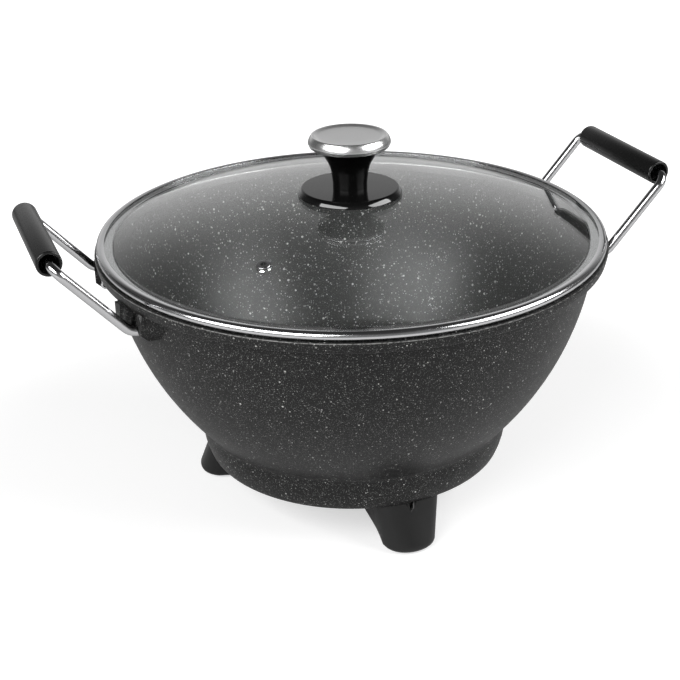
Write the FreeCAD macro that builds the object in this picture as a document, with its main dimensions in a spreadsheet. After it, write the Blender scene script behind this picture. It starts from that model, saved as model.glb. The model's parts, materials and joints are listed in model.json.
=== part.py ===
"""Electric wok with a lift-off glass lid, two wire handles and three legs.

Frame: millimetres, +Z up, origin on the surface that the feet stand on, under the bowl's axis.
+X runs through the handles and +Y points to the back, where the thermostat socket is.
"""
import FreeCAD, Part
import Sketcher
import math
import os

from FreeCAD import Placement, Rotation, Vector

doc = FreeCAD.newDocument("electric_wok")

SAME = 0.01          # places nearer than this count as one
THROUGH = 1.0        # how far a cutting tool runs on past a face
HEAD_ROUND = 0.45    # share of a screw head's height that is rounded
RECESS_WIDTH = 0.42  # share of a screw head's radius taken by the driver's recess
PIN_ROUND = 0.5      # share of a pin's radius that its tip is rounded by
EDGE_ROUND = 0.6     # share of a thin rim's height that its edge is rounded by
CORNER_ROUND = 0.8   # share of a shroud's wall that its corners are rounded by
SLOT_COUNT = 12
MM3_IN_CM3 = 1000.0
FULL_TURN = 360.0
BACK, FRONT = 90.0, -90.0

# ---------------------------------------------------------------- driving dimensions

SIZES = {
    # bowl
    "rim_radius": 161.5,
    "rim_taper": 1.3,
    "rim_depth": 6.6,
    "rim_edge_round": 0.9,
    "rim_overhang": 7.0,
    "neck_round": 3.5,
    "wall_curve": 198.8,
    "wall": 3.2,
    "bowl_rise": 114.5,
    "waist_radius": 101.4,
    "waist_round": 5.0,
    "floor_thickness": 6.0,
    "floor_drop": 4.5,
    "floor_round": 32.0,
    # skirt below the bowl
    "skirt_rise": 22.3,
    "skirt_clearance": 32.2,
    "skirt_taper": 3.9,
    "skirt_curve": 46.0,
    "skirt_wall": 3.5,
    # cast lugs that take the handle wires
    "lug_proud": 0.5,
    "lug_screw_bed": 14.0,
    "lug_end_wall": 2.9,
    "lug_floor": 4.8,
    "lug_chamfer": 3.5,
    "lug_pocket_inner": 8.5,
    "lug_pocket_outer": 3.6,
    "lug_pocket_inset": 3.7,
    "lug_pocket_gap": 0.15,
    # handle wire and grip
    "wire_radius": 3.0,
    "wire_play": 0.05,
    "wire_half_span": 52.5,
    "wire_seat_drop": 10.7,
    "wire_seat_depth": 4.0,
    "wire_low_bend": 10.0,
    "wire_high_bend": 8.0,
    "grip_overhang": 34.3,
    "grip_rise": 27.7,
    "wire_foot_out": 2.4,
    "grip_end_play": 0.3,
    "grip_radius": 7.6,
    "grip_hollow_radius": 5.8,
    "grip_hollow_depth": 8.0,
    "grip_end_round": 1.0,
    "grip_play": 0.08,
    "lug_screw_radius": 2.0,
    "lug_screw_head_radius": 3.4,
    "lug_screw_head": 2.4,
    "lug_screw_drop": 2.4,
    "lug_screw_inset": 0.2,
    # legs and feet
    "leg_top_front_half": 13.4,
    "leg_top_side_inset": 11.5,
    "leg_top_side_half": 22.1,
    "leg_top_corner": 10.4,
    "leg_top_depth": 41.5,
    "leg_top_inner_half": 28.5,
    "leg_foot_inset": 4.7,
    "leg_foot_radius": 16.8,
    "leg_foot_front_half": 10.2,
    "leg_foot_back": 15.3,
    "leg_foot_inner_half": 12.5,
    "leg_corner_round": 5.0,
    "leg_foot_round": 4.0,
    "leg_web": 8.0,
    "leg_spread_angle": 62.0,
    "leg_bore_radius": 4.1,
    "leg_notch_width": 2.8,
    "leg_notch_height": 4.2,
    "leg_notch_depth": 2.4,
    "leg_screw_inset": 11.5,
    "pad_inset": 1.8,
    "pad_radius": 8.2,
    "pad_thickness": 2.6,
    "pad_proud": 0.8,
    "pad_play": 0.1,
    # fasteners under the bowl
    "screw_radius": 2.0,
    "screw_head_radius": 3.7,
    "screw_head": 2.6,
    "screw_bite": 11.0,
    "screw_play": 0.1,
    "thread_play": 0.05,
    "leg_boss_radius": 6.0,
    "cover_boss_radius": 5.0,
    "cover_boss_inset": 17.5,
    # base cover
    "cover_thickness": 2.0,
    "cover_play": 0.3,
    "cover_slot_inner": 22.0,
    "cover_slot_outer": 48.0,
    "cover_slot_width": 4.0,
    # heating element, cast into a ridge under the floor
    "element_ring_radius": 62.0,
    "element_tube_radius": 3.3,
    "element_drop": 7.0,
    "element_bend": 9.0,
    "element_tail": 4.0,
    "element_ridge_half_width": 7.0,
    "element_ridge_cover": 2.4,
    "element_play": 0.05,
    # thermostat socket at the back
    "pin_half_spacing": 11.0,
    "pin_radius": 2.0,
    "pin_play": 0.05,
    "pin_recess": 5.0,
    "insulator_radius": 3.6,
    "insulator_length": 6.0,
    "probe_bore_radius": 3.25,
    "probe_bore_length": 42.0,
    "probe_boss_radius": 6.6,
    "socket_half_width": 27.0,
    "socket_gap": 1.0,
    "socket_proud": 1.5,
    "socket_wall": 3.0,
    "socket_roof": 2.2,
    "socket_play": 0.25,
    "earth_width": 8.0,
    "earth_recess": 2.9,
    "earth_thickness": 0.8,
    # lid
    "glass_thickness": 4.0,
    "glass_edge_play": 0.15,
    "glass_dome_setback": 5.2,
    "glass_curve": 480.0,
    "glass_bore": 4.2,
    "ring_setback": 1.5,
    "ring_cover": 5.0,
    "ring_sheet": 0.6,
    "ring_rise": 0.2,
    "ring_play": 0.05,
    "ring_skirt_play": 1.083,
    "ring_fold_bend": 1.0,
    "ring_skirt_depth": 5.8,
    "vent_inset": 45.8,
    "vent_angle": -139.5,
    "vent_flange_radius": 4.5,
    "vent_flange": 0.7,
    "vent_tube_radius": 2.8,
    "vent_hole_radius": 1.8,
    "vent_play": 0.1,
    # knob
    "seal_radius": 12.0,
    "seal_shelf": 1.0,
    "seal_bore": 3.0,
    "seal_thickness": 1.0,
    "knob_flange_radius": 32.9,
    "knob_flange_taper": 2.5,
    "knob_flange_edge": 0.5,
    "knob_flange_height": 4.1,
    "knob_flange_lip": 2.6,
    "knob_hollow": 1.9,
    "knob_neck_radius": 10.7,
    "knob_foot_flare": 1.7,
    "knob_neck_low": 6.6,
    "knob_neck_curve": 120.0,
    "knob_neck_flare": 1.2,
    "knob_neck_rise": 9.0,
    "knob_throat_flare": 4.7,
    "knob_throat_rise": 7.7,
    "knob_throat_curve": 24.0,
    "knob_shoulder_inset": 0.8,
    "knob_shoulder_rise": 7.3,
    "knob_shoulder_curve": 14.0,
    "cap_radius": 25.8,
    "cap_low_rise": 3.5,
    "cap_lip_taper": 1.4,
    "cap_high_rise": 3.7,
    "cap_crest_taper": 2.8,
    "cap_crest_width": 2.6,
    "cap_dish_depth": 1.2,
    "cap_sheet": 1.0,
    "cap_play": 0.05,
    "cap_side_curve": 7.0,
    "washer_radius": 9.0,
    "washer_play": 0.1,
    "washer_thickness": 1.2,
    "knob_screw_radius": 2.5,
    "knob_screw_head_radius": 4.6,
    "knob_screw_head": 3.0,
    "knob_screw_bite": 18.0,
}

# ---------------------------------------------------------------- places worked out from them

PLACES = {
    # radii that follow the rim's
    "rim_low_radius": "Sizes.rim_radius - Sizes.rim_taper",
    "neck_radius": "rim_low_radius - Sizes.rim_overhang",
    "lug_radius": "Sizes.rim_radius + Sizes.lug_proud",
    "lug_pocket_floor": "neck_radius - Sizes.lug_pocket_inset",
    "ring_radius": "Sizes.rim_radius - Sizes.ring_setback",
    "ring_inner": "ring_radius - Sizes.ring_cover",
    "ring_skirt_radius": "mouth_radius - Sizes.ring_skirt_play",
    "glass_edge_radius": "ring_nose_axis - Sizes.glass_edge_play",
    "glass_dome_edge": "ring_inner - Sizes.glass_dome_setback",
    "vent_reach": "glass_dome_edge - Sizes.vent_inset",
    # handles follow the rim and the wire
    "wire_seat_height": "rim_under - Sizes.wire_seat_drop",
    "lug_pocket_top": "rim_under - Sizes.lug_pocket_gap",
    "lug_pocket_near": "Sizes.wire_half_span - Sizes.lug_pocket_inner",
    "lug_pocket_far": "Sizes.wire_half_span + Sizes.lug_pocket_outer",
    "lug_near": "lug_pocket_near - Sizes.lug_screw_bed",
    "lug_far": "lug_pocket_far + Sizes.lug_end_wall",
    "grip_foot_reach": "neck_radius + Sizes.wire_foot_out",
    "grip_reach": "Sizes.rim_radius + Sizes.grip_overhang",
    "grip_height": "rim_top + Sizes.grip_rise",
    "grip_length": "2 * (Sizes.wire_half_span - Sizes.wire_high_bend - Sizes.grip_end_play)",
    # what follows the skirt and the element
    "skirt_low_radius": "Sizes.waist_radius - Sizes.skirt_taper",
    "leg_top_side_reach": "skirt_low_radius - Sizes.leg_top_side_inset",
    "leg_top_inner_reach": "skirt_low_radius - Sizes.leg_top_depth",
    "leg_foot_centre": "skirt_low_radius - Sizes.leg_foot_inset",
    "leg_foot_inner_reach": "leg_foot_centre - Sizes.leg_foot_back",
    "leg_screw_reach": "skirt_low_radius - Sizes.leg_screw_inset",
    "pad_reach": "leg_foot_centre - Sizes.pad_inset",
    "cover_boss_reach": "skirt_low_radius - Sizes.cover_boss_inset",
    "socket_inner": "element_ridge_outer + Sizes.socket_gap",
    "socket_outer": "skirt_low_radius + Sizes.socket_proud",
    "pin_reach": "socket_outer - Sizes.pin_recess",
    # knob radii that follow its neck, its flange and its cap
    "knob_flange_top_radius": "Sizes.knob_flange_radius - Sizes.knob_flange_taper",
    "knob_foot_radius": "Sizes.knob_neck_radius + Sizes.knob_foot_flare",
    "knob_neck_mid_radius": "Sizes.knob_neck_radius + Sizes.knob_neck_flare",
    "knob_throat_radius": "Sizes.knob_neck_radius + Sizes.knob_throat_flare",
    "cap_lip_radius": "Sizes.cap_radius - Sizes.cap_lip_taper",
    "cap_crest_radius": "Sizes.cap_radius - Sizes.cap_crest_taper",
    "cap_dish_radius": "cap_crest_radius - Sizes.cap_crest_width",
    "knob_shoulder_radius": "cap_lip_radius - Sizes.knob_shoulder_inset",
    "waist_height": "Sizes.skirt_clearance + Sizes.skirt_rise",
    "rim_under": "waist_height + Sizes.bowl_rise",
    "rim_top": "rim_under + Sizes.rim_depth",
    "underside": "waist_height - Sizes.floor_drop",
    "floor_top": "underside + Sizes.floor_thickness",
    "skirt_inner_radius": "skirt_low_radius - Sizes.skirt_wall",
    # centre of the wall's arc, from its two ends and its radius
    "curve_run": "neck_radius - Sizes.waist_radius",
    "curve_half_chord": "sqrt(curve_run ^ 2 + Sizes.bowl_rise ^ 2) / 2",
    "curve_offset": "sqrt(Sizes.wall_curve ^ 2 - curve_half_chord ^ 2) / (2 * curve_half_chord)",
    "curve_axis": "(neck_radius + Sizes.waist_radius) / 2 - curve_offset * Sizes.bowl_rise",
    "curve_height": "(waist_height + rim_under) / 2 + curve_offset * curve_run",
    "inner_curve": "Sizes.wall_curve - Sizes.wall",
    "mouth_radius": "curve_axis + sqrt(inner_curve ^ 2 - (curve_height - rim_under) ^ 2)",
    "floor_edge": "curve_axis + sqrt(inner_curve ^ 2 - (curve_height - floor_top) ^ 2)",
    # cover, legs and what is screwed to the bosses
    "cover_top": "Sizes.skirt_clearance + Sizes.cover_thickness",
    "cover_radius": "skirt_inner_radius - Sizes.cover_play",
    "leg_bottom": "Sizes.pad_proud",
    "leg_web_under": "Sizes.skirt_clearance - Sizes.leg_web",
    "leg_top_front_reach": "sqrt(skirt_low_radius ^ 2 - Sizes.leg_top_front_half ^ 2)",
    "leg_foot_front_reach": "leg_foot_centre "
                            "+ sqrt(Sizes.leg_foot_radius ^ 2 - Sizes.leg_foot_front_half ^ 2)",
    # element and socket share one height
    "element_height": "underside - Sizes.element_drop",
    "element_ridge_bottom": "element_height - Sizes.element_tube_radius - Sizes.element_ridge_cover",
    "element_ridge_inner": "Sizes.element_ring_radius - Sizes.element_ridge_half_width",
    "element_ridge_outer": "Sizes.element_ring_radius + Sizes.element_ridge_half_width",
    # lugs
    "lug_bottom": "wire_seat_height - Sizes.lug_floor",
    "lug_chamfer_radius": "lug_radius - Sizes.lug_chamfer",
    "lug_chamfer_height": "lug_bottom + Sizes.lug_chamfer",
    "lug_wall_low": "curve_axis + sqrt(Sizes.wall_curve ^ 2 - (curve_height - lug_bottom) ^ 2) "
                    "- Sizes.wall / 2",
    "neck_in_wall": "neck_radius - Sizes.wall / 2",
    "lug_top": "rim_under + Sizes.rim_depth / 4",
    # lid ring and glass
    "ring_bottom": "rim_top",
    "ring_channel_low": "ring_bottom + Sizes.ring_sheet",
    "ring_channel_high": "ring_channel_low + Sizes.glass_thickness + 2 * Sizes.ring_play",
    "ring_crown": "ring_channel_high + Sizes.ring_sheet",
    "ring_nose": "(ring_crown - ring_bottom) / 2",
    "ring_nose_inner": "ring_nose - Sizes.ring_sheet",
    "ring_nose_axis": "ring_radius - ring_nose",
    "ring_nose_edge": "ring_radius - Sizes.ring_sheet",
    "ring_middle": "(ring_crown + ring_bottom) / 2",
    "ring_edge_high": "ring_crown + Sizes.ring_rise",
    "ring_edge_low": "ring_channel_high + Sizes.ring_rise",
    "ring_skirt_inner": "ring_skirt_radius - Sizes.ring_sheet",
    "ring_skirt_bottom": "ring_bottom - Sizes.ring_skirt_depth",
    "ring_fold": "ring_skirt_radius + Sizes.ring_fold_bend",
    "ring_fold_height": "ring_bottom - Sizes.ring_fold_bend",
    "ring_fold_inner": "ring_skirt_inner + Sizes.ring_fold_bend",
    "ring_fold_top": "ring_channel_low - Sizes.ring_fold_bend",
    "glass_low": "ring_channel_low + Sizes.ring_play",
    "glass_high": "glass_low + Sizes.glass_thickness",
    "dome_centre": "glass_high - sqrt(Sizes.glass_curve ^ 2 - glass_dome_edge ^ 2)",
    "glass_inner_curve": "Sizes.glass_curve - Sizes.glass_thickness",
    "dome_inner_edge": "sqrt(glass_inner_curve ^ 2 - (glass_low - dome_centre) ^ 2)",
    "bore_high": "dome_centre + sqrt(Sizes.glass_curve ^ 2 - Sizes.glass_bore ^ 2)",
    "bore_low": "dome_centre + sqrt(glass_inner_curve ^ 2 - Sizes.glass_bore ^ 2)",
    # knob stack, upwards from the top of the glass and downwards from its underside
    "seal_low": "bore_high",
    "knob_seat": "seal_low + Sizes.seal_thickness",
    "knob_edge_low": "dome_centre + sqrt(Sizes.glass_curve ^ 2 - Sizes.knob_flange_radius ^ 2) "
                     "+ Sizes.knob_flange_edge",
    "knob_flange_top": "knob_edge_low + Sizes.knob_flange_height",
    "knob_hollow_top": "knob_seat + Sizes.knob_hollow",
    "knob_hollow_radius": "Sizes.knob_flange_radius - Sizes.knob_flange_lip",
    "knob_seat_radius": "Sizes.seal_radius + Sizes.seal_shelf",
    "knob_neck_low_height": "knob_edge_low + Sizes.knob_neck_low",
    "knob_neck_mid_height": "knob_neck_low_height + Sizes.knob_neck_rise",
    "knob_throat_height": "knob_neck_mid_height + Sizes.knob_throat_rise",
    "knob_shoulder_height": "knob_throat_height + Sizes.knob_shoulder_rise",
    "cap_lip_height": "knob_shoulder_height",
    "cap_waist": "knob_shoulder_height + Sizes.cap_low_rise",
    "cap_top": "cap_waist + Sizes.cap_high_rise",
    "cap_dish": "cap_top - Sizes.cap_dish_depth",
    "cap_inner_radius": "Sizes.cap_radius - Sizes.cap_sheet",
    "cap_inner_lip_radius": "cap_lip_radius - Sizes.cap_sheet",
    "cap_inner_crest_radius": "cap_crest_radius - Sizes.cap_sheet",
    "cap_inner_top": "cap_dish - Sizes.cap_sheet",
    "plug_radius": "cap_inner_radius - Sizes.cap_play",
    "plug_lip_radius": "cap_inner_lip_radius - Sizes.cap_play",
    "plug_crest_radius": "cap_inner_crest_radius - Sizes.cap_play",
    "knob_bore_radius": "Sizes.knob_screw_radius + Sizes.thread_play",
    "washer_seal_low": "bore_low - Sizes.seal_thickness - Sizes.washer_play",
    "washer_seal_top": "washer_seal_low + Sizes.seal_thickness",
    "washer_low": "washer_seal_low - Sizes.washer_thickness",
    "knob_screw_head_low": "washer_low - Sizes.knob_screw_head",
    "knob_screw_tip": "knob_seat + Sizes.knob_screw_bite",
}


def make_sheet(name, rows):
    """A spreadsheet with one named cell per row."""
    sheet = doc.addObject("Spreadsheet::Sheet", name)
    for number, (alias, content) in enumerate(rows.items(), start=1):
        sheet.set(f"A{number}", alias)
        sheet.set(f"B{number}", content if isinstance(content, str) else str(content))
        sheet.setAlias(f"B{number}", alias)
    return sheet


sizes = make_sheet("Sizes", SIZES)
places = make_sheet("Places", {alias: "=" + formula for alias, formula in PLACES.items()})
doc.recompute()


def cell(alias):
    """The expression that names a cell."""
    return ("Sizes." if alias in SIZES else "Places.") + alias


def value(alias):
    """The number that a cell holds."""
    return float(getattr(sizes if alias in SIZES else places, alias))


# ---------------------------------------------------------------- ways of making a solid

def origin_plane(body, role):
    """One of a body's own origin planes."""
    return next(item for item in body.Origin.OriginFeatures if item.Role == role)


def new_sketch(body, name, role="XZ_Plane", lift=None):
    """A sketch on an origin plane, raised along the plane's normal by a cell or not at all."""
    sketch = body.newObject("Sketcher::SketchObject", name)
    sketch.AttachmentSupport = (origin_plane(body, role), "")
    sketch.MapMode = "FlatFace"
    if lift:
        sketch.setExpression("AttachmentOffset.Base.z", cell(lift))
    return sketch


def arc_side(start, end, radius, side):
    """The arc from start to end with a radius, bulging to the left (+1) or right (-1) of the chord."""
    chord = end - start
    middle = (start + end) * 0.5
    left = Vector(-chord.y, chord.x, 0).normalize()
    half = chord.Length / 2
    sagitta = radius - math.sqrt(max(radius ** 2 - half ** 2, 0.0))
    return Part.Arc(start, middle + left * (side * sagitta), end)


def draw_outline(sketch, corners, arcs=None, flip=()):
    """Close an outline through corners, given as pairs of cells, and tie every corner to its cells.

    None in a pair stands for the axis. arcs maps a side's number to its radius cell and its bulge.
    flip lists the corners whose second coordinate is negative.
    """
    arcs = arcs or {}
    points = []
    for number, (across, along) in enumerate(corners):
        sign = -1 if number in flip else 1
        points.append(Vector(value(across) if across else 0, sign * value(along) if along else 0, 0))
    count = len(points)
    for side in range(count):
        start, end = points[side], points[(side + 1) % count]
        if side in arcs:
            radius, bulge = arcs[side]
            sketch.addGeometry(arc_side(start, end, value(radius), bulge), False)
        else:
            sketch.addGeometry(Part.LineSegment(start, end), False)
    ends = outline_ends(sketch, points)
    tie_corners(sketch, corners, ends, flip)
    for side, (radius, _) in arcs.items():
        index = sketch.addConstraint(Sketcher.Constraint("Radius", side, value(radius)))
        sketch.setExpression(f"Constraints[{index}]", cell(radius))


def outline_ends(sketch, points):
    """For each side, which of its two ends (1 or 2) lies on the side's first corner."""
    ends = []
    for side, point in enumerate(points):
        first = sketch.getPoint(side, 1).distanceToPoint(point)
        second = sketch.getPoint(side, 2).distanceToPoint(point)
        ends.append(1 if first < second else 2)
    return ends


def tie_corners(sketch, corners, ends, flip):
    """Join the sides at their corners and bind each corner's two coordinates."""
    count = len(corners)
    for side in range(count):
        before = (side - 1) % count
        sketch.addConstraint(Sketcher.Constraint("Coincident", side, ends[side], before, 3 - ends[before]))
    for side, (across, along) in enumerate(corners):
        place = sketch.getPoint(side, ends[side])
        if across is None:
            sketch.addConstraint(Sketcher.Constraint("PointOnObject", side, ends[side], -2))
        else:
            index = sketch.addConstraint(
                Sketcher.Constraint("DistanceX", -1, 1, side, ends[side], place.x))
            sketch.setExpression(f"Constraints[{index}]", cell(across))
        if along is None:
            sketch.addConstraint(Sketcher.Constraint("PointOnObject", side, ends[side], -1))
        else:
            index = sketch.addConstraint(
                Sketcher.Constraint("DistanceY", -1, 1, side, ends[side], place.y))
            sign = "-" if side in flip else ""
            sketch.setExpression(f"Constraints[{index}]", sign + cell(along))


def turned(label, corners, arcs=None):
    """A body turned about Z from an outline of (radius, height) corners."""
    body = doc.addObject("PartDesign::Body", label)
    sketch = new_sketch(body, label + "_outline")
    draw_outline(sketch, corners, arcs)
    turn = body.newObject("PartDesign::Revolution", label + "_turn")
    turn.Profile = sketch
    turn.ReferenceAxis = (sketch, ["V_Axis"])
    turn.Angle = FULL_TURN
    body.Tip = turn
    doc.recompute()
    return body


def ring_edges(shape, radius, height):
    """Names of the edges that are circles about Z with a radius at a height."""
    names = []
    for number, edge in enumerate(shape.Edges, start=1):
        curve = edge.Curve
        if isinstance(curve, Part.Circle) and abs(curve.Radius - radius) < SAME \
                and abs(curve.Center.z - height) < SAME:
            names.append(f"Edge{number}")
    return names


def round_edges(body, names, radius):
    """Round some edges of a body's last feature with the radius in a cell."""
    base = body.Tip
    fillet = body.newObject("PartDesign::Fillet", body.Label + "_" + radius)
    fillet.Base = (base, names)
    fillet.setExpression("Radius", cell(radius))
    body.Tip = fillet
    doc.recompute()


def cylinder(label, radius, length, at=(0, 0, 0), direction=(0, 0, 1)):
    """A cylinder whose radius is a cell and whose length is an expression, from a point along a direction."""
    solid = doc.addObject("Part::Cylinder", label)
    solid.setExpression("Radius", cell(radius))
    solid.setExpression("Height", length)
    solid.Placement = Placement(Vector(*at), Rotation(Vector(0, 0, 1), Vector(*direction)))
    return solid


def fuse(label, pieces):
    """Several objects as one."""
    joined = doc.addObject("Part::MultiFuse", label)
    joined.Shapes = pieces
    return joined


def cut(label, base, tool):
    """One object less another."""
    rest = doc.addObject("Part::Cut", label)
    rest.Base = base
    rest.Tool = tool
    return rest


def feature(label, shape, placement=None):
    """A piece whose shape is worked out here."""
    piece = doc.addObject("Part::Feature", label)
    piece.Shape = shape
    if placement:
        piece.Placement = placement
    return piece


def polar(reach, degrees, height=0.0):
    """The point at a distance and angle from the axis."""
    angle = math.radians(degrees)
    return Vector(reach * math.cos(angle), reach * math.sin(angle), height)


def rod(start, end, radius):
    """A round bar between two points."""
    run = end - start
    return Part.makeCylinder(radius, run.Length, start, run)


def block(low, high):
    """A box between two corners."""
    return Part.makeBox(high[0] - low[0], high[1] - low[1], high[2] - low[2], Vector(*low))


def pan_head_screw(seat, tip, radius, head_radius, head):
    """A screw from the face under its head, with a rounded head and a recess for the driver."""
    axis = (tip - seat).normalize()
    shank = rod(seat, tip, radius)
    cap = rod(seat - axis * head, seat, head_radius)
    top = seat - axis * head
    rims = [edge for edge in cap.Edges
            if isinstance(edge.Curve, Part.Circle) and edge.CenterOfMass.distanceToPoint(top) < SAME]
    rounded = cap.makeFillet(head * HEAD_ROUND, rims)
    recess = rod(top, seat - axis * (head * HEAD_ROUND), head_radius * RECESS_WIDTH)
    return rounded.cut(recess).fuse(shank).removeSplitter()


LEG_ANGLES = {
    "front": FRONT,
    "back_left": BACK + value("leg_spread_angle"),
    "back_right": BACK - value("leg_spread_angle"),
}
COVER_SCREW_ANGLES = (-30.0, -150.0, 60.0, 120.0)
SIDES = {"left": -1, "right": 1}


# ---------------------------------------------------------------- heating element

def mirrored(point):
    """The point on the other side of the YZ plane."""
    return Vector(-point.x, point.y, point.z)


def element_path(tail):
    """The element's centre line: most of a circle, with both ends bent out towards the socket.

    Each bend's centre lies one bend radius outside the circle and one beside the pin's line.
    """
    ring = value("element_ring_radius")
    bend = value("element_bend")
    height = value("element_height")
    centre_x = value("pin_half_spacing") + bend
    centre_y = math.sqrt((ring + bend) ** 2 - centre_x ** 2)
    lean = math.atan2(centre_y, centre_x)
    touch = Vector(ring * math.cos(lean), ring * math.sin(lean), height)
    bend_end = Vector(centre_x - bend, centre_y, height)
    middle_angle = (math.pi + lean + math.pi) / 2
    middle = Vector(centre_x + bend * math.cos(middle_angle), centre_y + bend * math.sin(middle_angle),
                    height)
    tail_end = bend_end + Vector(0, tail, 0)
    edges = [
        Part.makeLine(tail_end, bend_end),
        Part.Arc(bend_end, middle, touch).toShape(),
        Part.Arc(touch, Vector(0, -ring, height), mirrored(touch)).toShape(),
        Part.Arc(mirrored(touch), mirrored(middle), mirrored(bend_end)).toShape(),
        Part.makeLine(mirrored(bend_end), mirrored(tail_end)),
    ]
    return Part.Wire(edges), tail_end


def swept(path, radius, start, direction):
    """A round section carried along a smooth path."""
    section = Part.Wire([Part.makeCircle(radius, start, direction)])
    return path.makePipeShell([section], True, True)


element_line, element_end = element_path(value("element_tail"))
heating_element = feature("heating_element",
                          swept(element_line, value("element_tube_radius"), element_end, Vector(0, -1, 0)))


# ---------------------------------------------------------------- bowl

def pan_casting():
    """The bowl, its rim and the skirt below it, turned in one piece."""
    corners = [
        ("rim_radius", "rim_top"),
        ("rim_low_radius", "rim_under"),
        ("neck_radius", "rim_under"),
        ("waist_radius", "waist_height"),
        ("skirt_low_radius", "skirt_clearance"),
        ("skirt_inner_radius", "skirt_clearance"),
        ("skirt_inner_radius", "underside"),
        (None, "underside"),
        (None, "floor_top"),
        ("floor_edge", "floor_top"),
        ("mouth_radius", "rim_under"),
        ("mouth_radius", "rim_top"),
    ]
    arcs = {2: ("wall_curve", 1), 3: ("skirt_curve", 1), 9: ("inner_curve", -1)}
    body = turned("pan_casting", corners, arcs)
    spots = [
        ("floor_edge", "floor_top", "floor_round"),
        ("neck_radius", "rim_under", "neck_round"),
        ("waist_radius", "waist_height", "waist_round"),
        ("rim_radius", "rim_top", "rim_edge_round"),
        ("rim_low_radius", "rim_under", "rim_edge_round"),
        ("skirt_low_radius", "skirt_clearance", "rim_edge_round"),
    ]
    for radius, height, rounding in spots:
        round_edges(body, ring_edges(body.Tip.Shape, value(radius), value(height)), rounding)
    return body


def lug_blocks():
    """Four lugs under the rim: a ring section cut down to a sector on each side of each handle."""
    section = turned("lug_ring", [
        ("neck_in_wall", "lug_top"),
        ("rim_low_radius", "lug_top"),
        ("rim_low_radius", "rim_under"),
        ("lug_radius", "rim_under"),
        ("lug_radius", "lug_chamfer_height"),
        ("lug_chamfer_radius", "lug_bottom"),
        ("lug_wall_low", "lug_bottom"),
    ])
    sectors = []
    for side in SIDES.values():
        for end in (-1, 1):
            near, far = sorted((end * value("lug_near"), end * value("lug_far")))
            low_x, high_x = sorted((side * value("waist_radius"), side * (value("lug_radius") + THROUGH)))
            low = value("lug_bottom") - THROUGH
            sectors.append(block((low_x, near, low), (high_x, far, value("rim_top"))))
    mask = feature("lug_mask", Part.makeCompound(sectors))
    lugs = doc.addObject("Part::Common", "lugs")
    lugs.Base = section
    lugs.Tool = mask
    return lugs


def lug_screw_line(side, end):
    """Seat and tip of the screw that holds one wire end, along the lug towards the wire."""
    height = value("wire_seat_height") - value("lug_screw_drop")
    reach = side * (value("lug_pocket_floor") + value("lug_screw_head_radius") + value("lug_screw_inset"))
    seat = Vector(reach, end * value("lug_near"), height)
    tip = Vector(reach, end * (value("wire_half_span") - value("wire_radius")), height)
    return seat, tip


def pan_hollows():
    """Everything that is cut out of the casting after it is turned."""
    height = value("wire_seat_height")
    seat_end = value("lug_pocket_floor") - value("wire_seat_depth")
    tools = []
    for side in SIDES.values():
        for end in (-1, 1):
            near, far = sorted((end * value("lug_pocket_near"), end * value("lug_pocket_far")))
            low_x, high_x = sorted((side * value("lug_pocket_floor"), side * (value("lug_radius") + THROUGH)))
            low = height - value("wire_radius") - value("wire_play")
            tools.append(block((low_x, near, low), (high_x, far, value("lug_pocket_top"))))
            wire = Vector(side * seat_end, end * value("wire_half_span"), height)
            mouth = Vector(side * value("lug_radius"), wire.y, height)
            tools.append(rod(wire, mouth, value("wire_radius") + value("wire_play")))
            seat, tip = lug_screw_line(side, end)
            tools.append(rod(seat, tip, value("lug_screw_radius") + value("thread_play")))
    bite = value("cover_top") + value("screw_bite")
    thread = value("screw_radius") + value("thread_play")
    for degrees in LEG_ANGLES.values():
        tools.append(rod(polar(value("leg_screw_reach"), degrees, value("skirt_clearance")),
                         polar(value("leg_screw_reach"), degrees, bite), thread))
    for degrees in COVER_SCREW_ANGLES:
        tools.append(rod(polar(value("cover_boss_reach"), degrees, value("skirt_clearance")),
                         polar(value("cover_boss_reach"), degrees, bite), thread))
    wide = value("socket_half_width") + value("socket_play")
    tools.append(block((-wide, value("cover_boss_reach"), 0),
                       (wide, value("rim_radius"), value("underside"))))
    return feature("pan_hollows", Part.makeCompound(tools))


def screw_bosses():
    """Round bosses that the legs' and the cover's screws bite into."""
    bosses = []
    span = "Places.underside - Places.cover_top"
    low = value("cover_top")
    for name, degrees in LEG_ANGLES.items():
        place = polar(value("leg_screw_reach"), degrees, low)
        bosses.append(cylinder("leg_boss_" + name, "leg_boss_radius", span, place))
    for number, degrees in enumerate(COVER_SCREW_ANGLES, start=1):
        place = polar(value("cover_boss_reach"), degrees, low)
        bosses.append(cylinder(f"cover_boss_{number}", "cover_boss_radius", span, place))
    return bosses


def probe_boss():
    """The rounded rib under the floor that the thermostat's probe slides into."""
    radius = value("probe_boss_radius")
    height = value("element_height")
    start = value("socket_inner") - value("probe_bore_length") - radius
    end = value("socket_inner")
    barrel = rod(Vector(0, start, height), Vector(0, end, height), radius)
    web = block((-radius, start, height), (radius, end, value("underside")))
    return feature("probe_boss", barrel.fuse(web))


def make_wok_pan():
    """The finished casting."""
    solid = fuse("pan_solid", [pan_casting(), lug_blocks()] + screw_bosses())
    return cut("wok_pan", solid, pan_hollows())


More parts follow.
